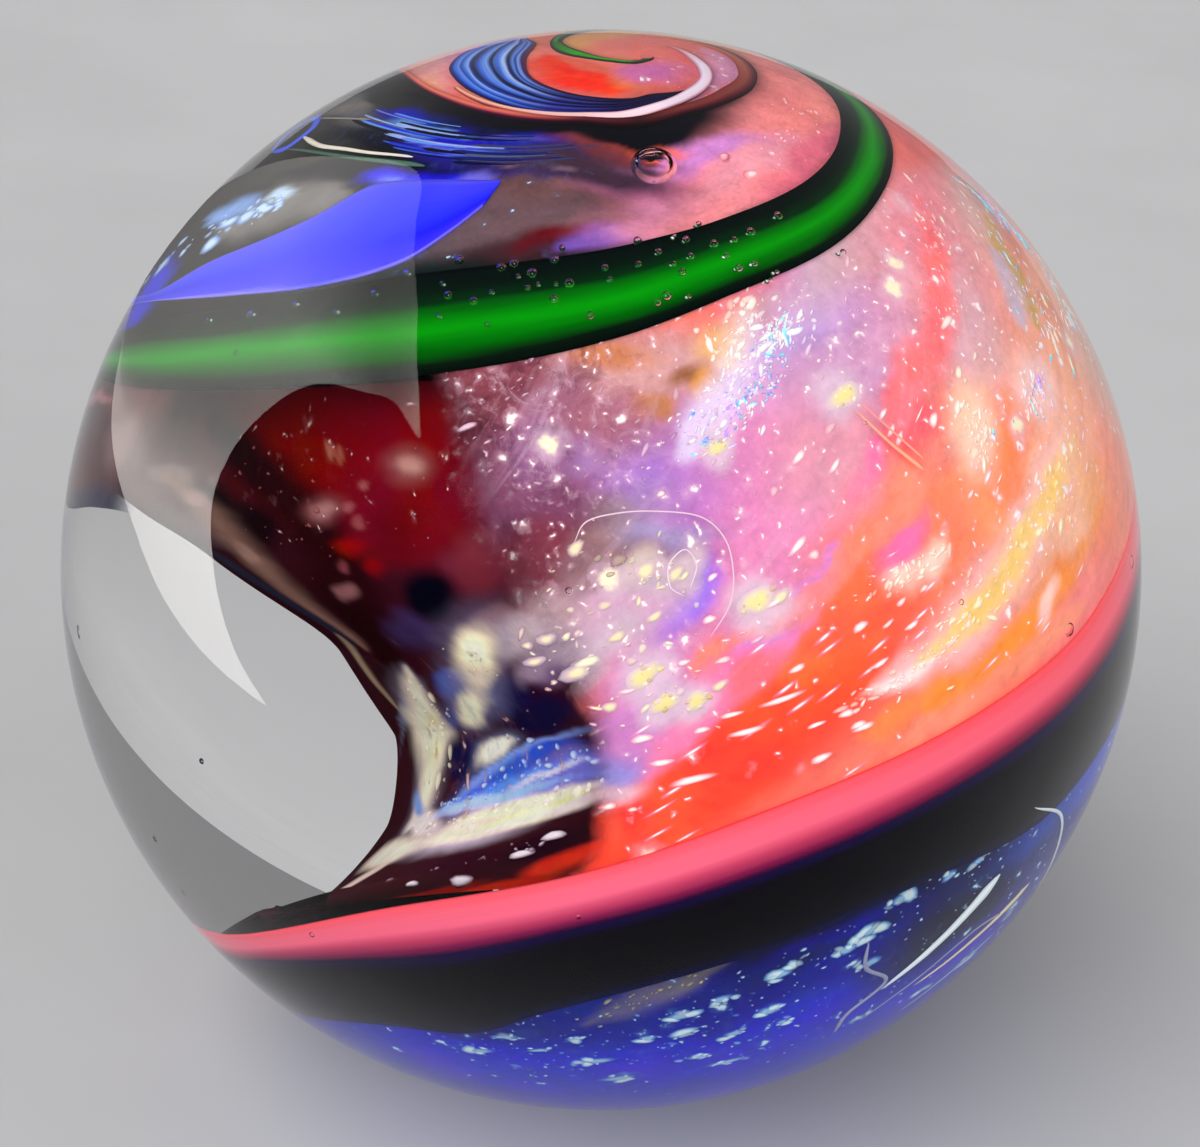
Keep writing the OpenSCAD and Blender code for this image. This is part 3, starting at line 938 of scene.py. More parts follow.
# Places on the wall run right and up, in percent of its width and height, from its top edge at the front
WALL_MARKS = [
    # deep red at the front, dusky rose towards the rim
    patch(-12, -10, 15, 11, 0, (106, 2, 4)),
    patch(-8, -20, 9, 8, 0, (98, 4, 16)),
    patch(-41, -11, 12, 5.7, 14, (96, 60, 62)),
    patch(-43, -6, 12.5, 2.5, 6, (84, 44, 46)),
    patch(-35, -11, 3.9, 1.4, 6, (150, 120, 118)),
    patch(-42.5, -10, 2.6, 0.9, 12, (120, 96, 96)),
    patch(-42, -22, 5, 4, 0, (84, 64, 68)),
    patch(-4, -29, 4.5, 3, 51, (96, 28, 42)),
    patch(-1, -25, 3.5, 2.6, 49, (104, 34, 44)),
    patch(-10.6, -23, 5.9, 2.6, 61, (84, 2, 12)),
    streak([(-27, -2), (-23, -9), (-20, -18), (-21, -29), (-29, -38), (-37, -47), (-46, -54)],
           4.4, (32, 2, 6)),
    patch(-30.3, -16.8, 4.8, 3.4, 62, (22, 2, 8)),
    patch(-27.4, -20.8, 4.8, 2.9, 50, (18, 1, 6)),
    streak([(-36, -11), (-33, -16), (-34, -22), (-37, -31), (-40, -39), (-44, -47)],
           3.0, (150, 112, 98), 0.85, 1.0),
    patch(-33, -15, 2.0, 1.6, 30, (168, 130, 124)),
    patch(-36, -27, 3.0, 1.4, 40, (164, 126, 112)),
    streak([(-50, -18), (-49, -26), (-46, -33), (-45, -40), (-48, -48)], 2.6, (36, 38, 58)),
    streak([(-47, -44), (-49.5, -49), (-50, -54), (-50, -59)], 1.6, (156, 134, 108)),
    patch(-6.1, -12, 2.6, 1.8, 77, (122, 66, 66), 1.0, 0.9),
    patch(-6.1, -12, 1.4, 1.0, 77, (158, 112, 104), 1.0, 0.9),
    patch(-17, -18.2, 2.6, 1.5, 32, (112, 56, 60), 1.0, 0.9),
    patch(-17, -18.2, 1.5, 0.9, 32, (146, 100, 98), 1.0, 0.9),
    patch(-13.9, -18.2, 0.9, 0.6, 53, (136, 66, 70)),
    patch(-13.5, -20.6, 1.0, 0.6, 57, (130, 58, 60)),
    patch(-11.2, -14.5, 0.8, 0.5, 69, (136, 66, 66)),
    patch(-13.3, -9.2, 1.4, 0.4, 79, (150, 84, 66)),
    patch(-12.3, -9.8, 1.3, 0.4, 79, (140, 72, 58)),
    patch(-25.4, -34, 2.9, 0.9, 32, (130, 82, 86)),
    patch(-21, -29, 1.4, 0.6, 42, (104, 44, 54)),
    patch(-16.6, -24.8, 2.6, 1.4, 42, (128, 3, 3), 1.0, 0.9),
    patch(-16, -28.8, 2.2, 1.0, 47, (112, 2, 4), 1.0, 0.9),
    # the milky veil at the field's edge, the dark hole, and the purple under it
    patch(-22.9, -41.5, 7.7, 2.5, 30, (52, 36, 78), 0.9),
    patch(-0.4, -36.8, 4.7, 2, 31, (150, 100, 112), 0.8),
    patch(-9.2, -39.2, 6.4, 1.5, 33, (150, 108, 108), 0.8),
    patch(-6, -41, 9.6, 2.3, 30, (190, 168, 174), 0.9),
    patch(-12.7, -34, 6.2, 2.6, 42, (2, 1, 12), 1.0, 0.4),
    # navy and blue between the cream masses
    patch(-17.8, -53.5, 7.3, 2.7, 33, (10, 6, 54), 1.0, 0.5),
    patch(-14.9, -57, 8.6, 2.8, 27, (8, 4, 46), 1.0, 0.5),
    patch(-34, -66, 4.7, 2, 17, (8, 8, 60), 1.0, 0.5),
    patch(-28.4, -68.5, 4, 1.2, 9, (10, 12, 78)),
    patch(-5.5, -46.5, 5.4, 2.1, 41, (132, 98, 140), 0.8),
    patch(-6.7, -46, 7.1, 1.5, 37, (160, 134, 156), 0.8),
    patch(-26.2, -52.2, 5.1, 1.6, 29, (54, 84, 176)),
    patch(-36.2, -60, 5.9, 1.3, 32, (50, 60, 130)),
    patch(-47.7, -58.8, 12, 0.9, 22, (110, 112, 140)),
    # the cream masses, in bluish halos
    patch(-16.2, -45, 11, 3.4, 39, (104, 96, 128), 0.9, 0.9),
    patch(-26.4, -56, 8, 2.8, 33, (112, 110, 150), 0.9, 0.9),
    streak([(-35, -51), (-41, -58), (-45, -64), (-46.5, -69), (-46, -73)], 4.4, (126, 118, 140), 0.9, 0.9),
    patch(-16.2, -45, 8, 2.3, 38, (240, 222, 182), 1.0, 0.6),
    patch(-15.6, -44.4, 4.6, 1.4, 38, (255, 244, 206), 1.0, 0.9),
    patch(-45, -63, 7, 4.6, 10, (232, 220, 196), 1.0, 0.4),
    patch(-36.2, -66.2, 3.8, 2.3, -3, (12, 10, 58), 1.0, 0.5),
    patch(-20.9, -50.8, 3.6, 1.3, 41, (214, 198, 176), 1.0, 0.8),
    patch(-27.4, -57, 5, 1.7, 30, (248, 236, 196), 1.0, 0.6),
    streak([(-35, -51), (-40, -57), (-44, -63), (-46.5, -69), (-46, -74)], 2.9, (240, 226, 200), 1.0, 0.8),
    streak([(-38, -54), (-42, -60), (-45, -66), (-46, -71)], 1.2, (246, 230, 200), 1.0, 0.9),
    patch(-41, -60, 2.4, 0.8, 25, (236, 216, 172), 1.0, 0.8),
    patch(-44, -66, 2.4, 0.8, 20, (238, 220, 176), 1.0, 0.8),
    patch(-27.2, -64.2, 4.6, 1.7, 28, (120, 130, 170), 0.9, 0.9),
    patch(-27.6, -64.4, 4, 1.3, 25, (250, 240, 214), 1.0, 0.5),
    # the fan of blue streaks from the vertex at the fold
    patch(-23.9, -69.5, 11.2, 2.6, 9, (80, 104, 204), 0.9),
    patch(-25.4, -66, 17, 0.7, 24, (120, 150, 225)),
    patch(-24.3, -68.5, 16.4, 1.1, 14, (50, 90, 215)),
    patch(-23.3, -70, 16.2, 0.9, 9, (126, 160, 245)),
    patch(-22.7, -71.2, 16.1, 1.0, 4, (200, 194, 236)),
    patch(-13.7, -67.2, 6.7, 3.9, 15, (112, 110, 206), 0.9),
    patch(-20.3, -65, 8.8, 1, 22, (40, 78, 196)),
    patch(-22.1, -68, 9.8, 0.7, 14, (90, 136, 232)),
    patch(-24.5, -70.2, 10.3, 0.7, 10, (150, 184, 240)),
    patch(-17.2, -67.2, 7, 0.5, 16, (210, 206, 240)),
    patch(-31.9, -71, 7.3, 0.8, 5, (170, 198, 242)),
    patch(-20, -71.8, 9, 0.6, 9, (196, 190, 232)),
    # the cream band, the dark glass under it, and the glow at the foot
    patch(-28.2, -77.5, 9.6, 3.6, -2, (206, 186, 206), 1.0, 0.7),
    patch(-20.2, -72.8, 12.4, 1.8, 11, (252, 230, 196), 1.0, 0.5),
    patch(-41.9, -73.5, 6.6, 1.7, -18, (236, 214, 214), 1.0, 0.45),
    patch(-47.9, -70.5, 2.9, 0.9, -14, (120, 150, 210)),
    patch(-28.2, -77.5, 7.8, 2, 1, (242, 218, 196), 1.0, 0.5),
    patch(-17.2, -75.5, 5.7, 2.4, 14, (246, 228, 206), 1.0, 0.5),
    patch(-11, -74, 3.4, 2, 17, (238, 214, 210), 1.0, 0.5),
    patch(-4, -71.5, 5, 1.6, 20, (232, 204, 214), 1.0, 0.5),
    patch(-43.4, -78.2, 8.2, 2.7, -3, (240, 222, 204), 1.0, 0.4),
    patch(-20.7, -75.2, 4.4, 0.7, 16, (252, 230, 176)),
    patch(-12.5, -72.8, 2.6, 0.7, 27, (252, 234, 160)),
    streak([(-40, -80), (-44, -85), (-43, -91), (-40, -97)], 2.6, (226, 198, 186), 1.0, 0.5),
    patch(-10.4, -86.2, 5.2, 4.8, 0, (34, 2, 18), 1.0, 0.45),
    patch(-19.4, -88.2, 6.3, 5, -34, (44, 3, 20), 1.0, 0.45),
    patch(-23.9, -98, 5.5, 4.2, 60, (52, 8, 14), 1.0, 0.5),
    patch(-31, -91, 5, 4, -40, (52, 6, 16), 1.0, 0.5),
    patch(-3, -81, 4, 3.4, 0, (30, 2, 14), 1.0, 0.5),
    patch(-48, -89, 10.8, 1.6, -36, (126, 30, 12), 1.0, 0.5),
    patch(-9.8, -99.5, 6, 1.9, 30, (205, 34, 12), 1.0, 0.5),
    patch(-17, -99.5, 5.5, 2, 30, (150, 18, 8), 1.0, 0.5),
    streak([(1, -86), (-4, -91), (-7, -96)], 2.2, (236, 48, 24)),
]
WALL_GRAINS = [
    patch(-16, -14, 14, 10, 0, (50, 0, 20)),
    patch(-30, -60, 14, 14, 0, (30, 0, 120)),
    patch(-20, -70, 24, 5, 0, (60, 0, 90)),
]


# ---------------------------------------------------------------- the pieces

def stray_ember():
    """Streaks of the ember field's other colours, round the sides and the back where no mark is placed."""
    random = np.random.default_rng(8)
    palette = [(255, 96, 60), (252, 150, 120), (235, 130, 185), (250, 190, 160), (240, 80, 95),
               (255, 140, 70), (200, 130, 200)]
    marks = []
    for k in range(46):
        turn = random.uniform(115, 232)
        low, high = PINK_TOP(turn), GREEN_LOW(turn)
        latitude = low + random.uniform(0.1, 0.95) * (high - low)
        marks.append(patch(turn, latitude, random.uniform(8, 26), random.uniform(1.5, 4),
                           slope_at(PINK_TOP, turn), palette[k % len(palette)], random.uniform(0.5, 0.95)))
    return marks


def stray_night():
    """Cobalt and dark streaks, under the ball and round its back."""
    random = np.random.default_rng(9)
    palette = [(6, 12, 215), (10, 14, 60), (30, 80, 200), (4, 4, 20)]
    marks = [patch(turn, -62, 50, 16, 8, (4, 8, 185)) for turn in (0, 90, 180, 270)]
    for k in range(40):
        turn, latitude = random.uniform(70, 330), random.uniform(-75, 8)
        marks.append(patch(turn, latitude, random.uniform(8, 20), random.uniform(1.5, 4),
                           random.uniform(8, 24), palette[k % len(palette)], random.uniform(0.5, 0.9)))
    return marks


def ember_cover(turn, latitude):
    """The ember field thins out to its left-hand edge, over a width that depends on the latitude."""
    width = smooth_line([(-10, 3.5), (0, 3.5), (9, 3.6), (15, 6), (25, 11), (36, 11), (44, 6), (60, 4)])
    return np.clip((turn - EMBER_START(latitude)) / width(latitude), 0, 1)


ember_tint = marked(EMBER, EMBER_MARKS + stray_ember(), 3)
night_tint = marked(NIGHT, NIGHT_MARKS + stray_night(), 5)


def build_fields():
    streaks, points_across = (14, 22), 92
    ember = field_glass("ember_glass", streaks, (110, 26), sweep=(60, 2.6), thin=True, cloudy=0.4,
                        frit=((250, 235, 200), (230, 195, 215)), dash=((255, 235, 225), (250, 150, 200)),
                        fine=((255, 240, 235), (240, 190, 210)))
    ribbon("ember_field", ember, PINK_TOP, GREEN_LOW, turn_rows(-30, LAST_TURN, 0.75, 2.6),
           FIELD_DEPTH, points_across, ember_tint, grain=grained(EMBER_GRAINS, 11), start=EMBER_START,
           pad=(0.6, 1.5), cover=ember_cover)
    night = field_glass("cobalt_glass", streaks, (46, 26), cloudy=0.7,
                        frit=((190, 225, 235), (70, 120, 190)), dash=((120, 160, 235), (40, 60, 190)))
    ribbon("night_field", night, NIGHT_LOW, PINK_LOW,
           turn_rows(-120, LAST_TURN, 1.2, 2.4, (-60, 80)), NIGHT_DEPTH, points_across, night_tint,
           grain=grained(NIGHT_GRAINS, 12), pad=(0, 0.6))


def build_bands():
    """The long bands round the ball: black, green with its hook at the pole, and the pink line."""
    black = ribbon_glass("black_glass", [
        (0.0, (3, 6, 60)), (0.12, (2, 2, 12)), (0.5, (2, 2, 4)), (0.8, (4, 2, 10)), (0.93, (26, 4, 70)),
        (1.0, (52, 10, 96))], wobble=0.08)
    ribbon("black_band", black, BLACK_LOW, PINK_LOW, turn_rows(-190, 262, 1.5, 3),
           BAND_DEPTH, 18, pad=(0, 0.6))
    green = ribbon_glass("green_glass", [
        (0.0, (3, 10, 8)), (0.10, (5, 20, 10)), (0.22, (0, 92, 4)), (0.40, (4, 142, 8)),
        (0.52, (2, 112, 6)), (0.66, (4, 40, 14)), (0.82, (6, 18, 14)), (1.0, (5, 12, 12))])
    ribbon("green_band", green, GREEN_LOW, GREEN_TOP, turn_rows(-200, 236, 1.5, 3),
           BAND_DEPTH, 18, swell=0.004)
    hook = ribbon_glass("hook_glass", [
        (0.0, (6, 26, 8)), (0.12, (14, 70, 8)), (0.28, (40, 150, 12)), (0.7, (62, 164, 16)),
        (0.88, (20, 92, 10)), (1.0, (4, 26, 8))], vary=0.2)
    ribbon("green_hook", hook, GREEN_LOW, GREEN_TOP, turn_rows(234, 470, 3, 3), BAND_DEPTH,
           12, by_turn((234, (90, 140, 120)), (262, WHITE), (315, WHITE), (350, (190, 120, 160)),
                   (470, (255, 120, 160))), swell=0.003)
    pink = ribbon_glass("ruby_glass", [
        (0.0, (60, 18, 110)), (0.14, (130, 60, 140)), (0.34, (205, 150, 190)), (0.55, (255, 240, 250)),
        (0.8, (255, 235, 235)), (1.0, (250, 190, 180))], wobble=0.1, vary=0.12)
    ribbon("pink_line", pink, PINK_LOW, PINK_TOP, turn_rows(-190, LAST_TURN, 1.5, 3),
           LINE_DEPTH, 12, by_turn((-200, (225, 100, 125)), (0, (250, 112, 138)), (60, (252, 100, 118)),
                                   (150, (225, 84, 84)),
                   (230, (150, 60, 50)), (268, (246, 142, 110)), (315, (225, 122, 100)),
                                   (340, (92, 34, 40)),
                   (362, (48, 18, 22)), (385, (118, 52, 46)), (440, (140, 66, 58)), (500, (190, 112, 82)),
                   (540, (225, 140, 96))), swell=0.002)


def build_veil():
    """The dusky rose glass under the green band at the left-hand rim, with a navy lower edge."""
    rose = seed_glass("rose_glass", cloudy=0.7, thin=True)
    ribbon("rose_veil", rose, VEIL_LOW, GREEN_LOW, turn_rows(-112, -56, 1, 1),
           FIELD_DEPTH - 0.006, 40, marked((72, 40, 44), VEIL_MARKS, 9), pad=(0, 1.5),
           cover=lambda turn, latitude: np.clip((-57 - turn) / 9, 0, 1))


def build_ribbons():
    """The shorter ribbons: the blue wedge above the green band, and the white and blue ones of the
    spiral."""
    wedge = ribbon_glass("wedge_glass", [
        (0.0, (140, 130, 255)), (0.06, (70, 60, 250)), (0.3, (34, 34, 238)), (0.6, (52, 60, 250)),
        (0.9, (74, 74, 246)), (1.0, (96, 92, 235))], along=9, wobble=0.2)
    ribbon("blue_wedge", wedge,
           smooth_line([(-96, 24.5), (-79, 32.6), (-60, 40.6), (-46, 46.2), (-36, 51.5), (-31, 57),
                        (-29, 60)]),
           smooth_line([(-96, 26), (-79, 34), (-71, 41), (-63, 47.2), (-58, 52), (-54, 57.5), (-46, 60.3),
                        (-38, 62), (-29, 63.5)]),
           turn_rows(-95, -29, 1, 1), BAND_DEPTH - 0.002, 24,
           by_turn((-62, WHITE), (-47, (200, 215, 255)), (-38, (235, 235, 255)), (-29, (210, 200, 255))))
    white = ribbon_glass("opal_glass", [
        (0.0, (205, 150, 160)), (0.22, (250, 235, 242)), (0.75, (255, 250, 255)), (1.0, (215, 170, 195))],
        wobble=0.1, vary=0.1)
    ribbon("white_line", white,
           smooth_line([(284, 70.9), (301, 71.8), (318, 72.9), (345, 74.9), (363, 76.7), (376, 78),
                        (394, 79.7), (414, 81.2), (439, 82.6), (470, 83.8), (512, 84.1)]),
           smooth_line([(284, 71.2), (301, 72.2), (318, 73.4), (343, 75.8), (353, 76.8), (363, 78),
                        (376, 79.4), (394, 81.2), (414, 82.5), (439, 84), (470, 84.8), (512, 84.2)]),
           turn_rows(284, 512, 2, 2), LINE_DEPTH, 10,
           by_turn((284, (250, 185, 150)), (318, (245, 190, 170)), (345, (240, 205, 205)),
                   (375, (240, 228, 238)), (450, (246, 232, 246)), (490, (240, 190, 190)),
                   (512, (232, 140, 130))))
    blues = [(12, 16, 90), (30, 80, 215), (96, 154, 250), (20, 50, 150), (60, 120, 240), (160, 196, 255),
             (24, 60, 170), (8, 12, 50), (50, 100, 220), (124, 172, 255), (18, 36, 110), (6, 8, 36),
             (70, 130, 245), (176, 206, 255), (18, 36, 120), (8, 10, 46), (90, 140, 240), (24, 26, 100),
             (126, 160, 240), (40, 20, 90), (96, 22, 60)]
    stops = [(k / (len(blues) - 1), colour) for k, colour in enumerate(blues)]
    swirl = ribbon_glass("swirl_glass", stops, along=3, wobble=0.26, vary=0.8)
    ribbon("blue_swirl", swirl,
           smooth_line([(228, 71.5), (245, 69.8), (261, 70.2), (275, 71.2), (291, 72.2), (307, 73.1),
                        (318, 73.7), (343, 76), (353, 77), (363, 78.2), (376, 79.6), (394, 81)]),
           smooth_line([(228, 74), (241, 77.8), (253, 78.5), (274, 78.6), (298, 78.2), (319, 78.4),
                        (341, 79), (357, 79.7), (370, 80.9), (380, 81.1), (394, 81.3)]),
           turn_rows(228, 394, 1.5, 1.5), BAND_DEPTH, 26,
           by_turn((228, (215, 205, 255)), (255, WHITE), (300, (225, 225, 240)), (325, (120, 90, 150)),
                   (350, (60, 30, 80)), (394, (50, 20, 50))))
    coral = marked((240, 124, 112), [
        patch(60, 86.5, 4, 2.5, 0, (222, 118, 140)),
        streak([(120, 74), (170, 75), (215, 78), (250, 83)], 3, (236, 160, 96))], 6)
    ribbon("pole_cap", seed_glass("pole_glass"), lambda turn: 70 + 0 * turn,
           lambda turn: 89.9 + 0 * turn, turn_rows(0, 360, 4, 4), FIELD_DEPTH - 0.008, 24, coral)


def wall_face(rows, cols):
    """Points of the folded wall inside the window: rows from the green band down to the pink line, and
    columns from the ember field's edge at the front, past the middle of the ball, to an edge at the
    back."""
    s = np.linspace(0, 1, rows)
    lines = [
        [(0, 42), (0.3, 25), (0.6, 10), (0.8, 2), (1, -6)],
        [(0, -8), (1, -56)],
        [(0, -110), (0.1, -104), (0.3, -97), (0.5, -85), (0.62, -72), (0.72, -63), (0.85, -70), (1, -100)],
        [(0, 9), (0.1, 3), (0.2, -1), (0.3, -5), (0.5, -23), (0.62, -42), (0.72, -54), (1, -53)],
        [(0, 0.68), (0.1, 0.64), (0.3, 0.48), (0.5, 0.32), (0.62, 0.3), (0.72, 0.4), (0.85, 0.54),
         (1, 0.68)]]
    first_latitude, last_latitude, middle_turn, middle_latitude, middle_depth = (
        smooth_line(points)(s) for points in lines)
    tucked_under, back_turn = 5, 187.0
    first = heading(WALL_START(first_latitude) + tucked_under, first_latitude) * WALL_DEPTH
    middle = heading(middle_turn, middle_latitude) * middle_depth[:, None]
    last = heading(np.full(rows, back_turn), last_latitude) * FIELD_DEPTH
    pull = 2 * middle - (first + last) / 2
    # most of the columns are on the near part, which the window shows
    near, far_cols = 0.54, 24
    w = np.concatenate([np.linspace(0, near, cols - far_cols, endpoint=False),
                        np.linspace(near, 1, far_cols)])
    v = w[None, :, None]
    face = (1 - v) ** 2 * first[:, None] + 2 * v * (1 - v) * pull[:, None] + v * v * last[:, None]
    return face, s, w


def wall_tint(spots, turns):
    """The wall's colours, painted a quarter lighter to make up for the dimmer light that it gets inside the
    ball.
    """
    return np.minimum(1.25 * paint(spots, WALL, WALL_MARKS, 7, push=1.0, where=on_wall), 0.95)


def wall_spots():
    """Crisp grains of white, cream and blue glass on the wall."""
    white, blue, edge = (246, 234, 242), (214, 226, 250), (214, 190, 205)
    spots = [(-10, -82.5, 2.6, 0.55, -2, white, edge), (-11.7, -87.5, 2.6, 0.5, 2, white, edge),
             (-14.5, -94.8, 2.4, 0.5, 3, white, edge), (-21, -94.5, 1.2, 0.3, 3, white, edge),
             (-24.5, -62.5, 0.5, 0.3, 35, blue, (150, 150, 210))]
    fan = [(-29.9, -69.2, 0.75), (-32.7, -70.2, 0.55), (-26.4, -67.2, 0.7), (-36.6, -70.5, 0.5),
           (-20.3, -62.8, 0.95), (-18.8, -64.2, 0.6), (-17, -66.8, 0.9), (-22.7, -62.8, 0.45),
           (-13.5, -68.8, 0.6), (-9, -66, 0.9), (-6, -63, 0.8)]
    spots += [(x, y, 1.3 * size, 0.4 * size, 2, blue, (110, 140, 220)) for x, y, size in fan]
    dots = [(-13, -58), (-10, -60), (-16, -56), (-12, -52), (-7, -20), (-7, -24), (-20, -60)]
    spots += [(x, y, 0.16, 0.13, 0, (220, 200, 214), (110, 60, 100)) for x, y in dots]
    random = np.random.default_rng(51)
    runs = [([(-41, -72), (-29, -69.4), (-15, -66), (-3, -62)], 1.0, 56, 0.16, blue, (120, 160, 230), 2),
            ([(-40, -75), (-24, -74), (-8, -70)], 1.3, 44, 0.2, (252, 244, 236), (236, 222, 214), 0),
            ([(-36, -55), (-41, -62), (-44, -70)], 2.2, 36, 0.24, (252, 244, 214), (236, 222, 190), 20),
            ([(-17, -44), (-17, -48)], 1.6, 10, 0.24, (252, 242, 204), (236, 222, 180), 20),
            ([(-10, -8), (-18, -16), (-26, -26)], 5.0, 34, 0.12, (170, 96, 100), (120, 36, 44), 0),
            ([(-8, -84), (-18, -88), (-30, -95)], 1.2, 20, 0.14, (214, 190, 210), (110, 60, 90), 10)]
    for points, width, count, size, core, rim, slant in runs:
        line = smooth_path(points, 100)
        for _ in range(count):
            place = line[random.integers(100)] + random.normal(0, width, 2) * (1, 0.8)
            spots.append(loose_grain(random, place, size, slant, core, rim, spread=12))
    return [spot for spot in spots if -50 < spot[0] < -1 and -99.5 < spot[1] < -1]


def build_wall():
    rows, cols = 230, 160
    face, s, w = wall_face(rows, cols)
    normal = unit(np.cross(np.gradient(face, axis=0), np.gradient(face, axis=1)))
    uv = np.stack(np.meshgrid(s, w, indexing="ij"), -1)
    spots = np.stack([-100 * uv[..., 1], -100 * uv[..., 0], 0 * uv[..., 0]], -1).reshape(-1, 3)
    grain = paint(spots, (0, 0, 0), WALL_GRAINS, 8, where=on_wall, shade=plain)
    glass = field_glass("wall_glass", (30, 8), (16, 50), frit=((225, 190, 180), (150, 90, 95)),
                        dash=((245, 245, 255), (120, 160, 240)), cloudy=0.4, drawn_out=0.3)
    # the sheet's back is the side that the window shows; near the front it shades like the ball's own
    # surface, as the ember field that it joins does
    lean = smooth_step(0.4, 0.02, w)[None, :, None]
    shade = unit((lean * unit(face) - (1 - lean) * normal).reshape(-1, 3))
    piece = closed_sheet("cave_wall", face, face - normal * SHEET_THICKNESS, uv,
                         tint=wall_tint(spots, None), grain=grain)
    normals = np.concatenate([normal.reshape(-1, 3), shade])
    piece.data.normals_split_custom_set_from_vertices(normals.tolist())
    finish_piece(piece, glass)

    def seat(x, y):
        i = min(max(round(-y / 100 * (rows - 1)), 1), rows - 2)
        j = min(max(int(np.argmin(np.abs(w + x / 100))), 1), cols - 2)
        right = unit(face[i, j - 1] - face[i, j + 1])
        up = np.cross(right, normal[i, j])
        return face[i, j] - normal[i, j] * SHEET_THICKNESS, right, up, -normal[i, j]

    seeds("wall_grains", wall_spots(), wall_tint, seed_glass("wall_grains", cloudy=0.3, hue=0.0),
          seat=seat, where=on_wall)


def halo_spots():
    """The grains of yellow glass in the ember field, each a knot of smaller ones."""
    random = np.random.default_rng(23)
    gold, rim = (238, 220, 150), (224, 204, 190)
    palette = [(214, 190, 108), (246, 234, 172), (253, 246, 214), gold]
    spots = []
    for turn, latitude, size, slant in YELLOW_GRAINS:
        spots.append((turn, latitude, 1.3 * size, 0.8 * size, slant, gold, rim))
        for k in range(12):
            angle, reach = random.uniform(0, 6.3), size * random.uniform(0.1, 1.0)
            x, y = reach * 1.2 * math.cos(angle), reach * 0.7 * math.sin(angle)
            grow = size * random.uniform(0.14, 0.36)
            colour = palette[k % len(palette)]
            spots.append((turn + x / math.cos(math.radians(latitude)), latitude + y + 0.4 * x, grow,
                          0.7 * grow, slant, colour, dimmed(colour, 0.95)))
    return spots


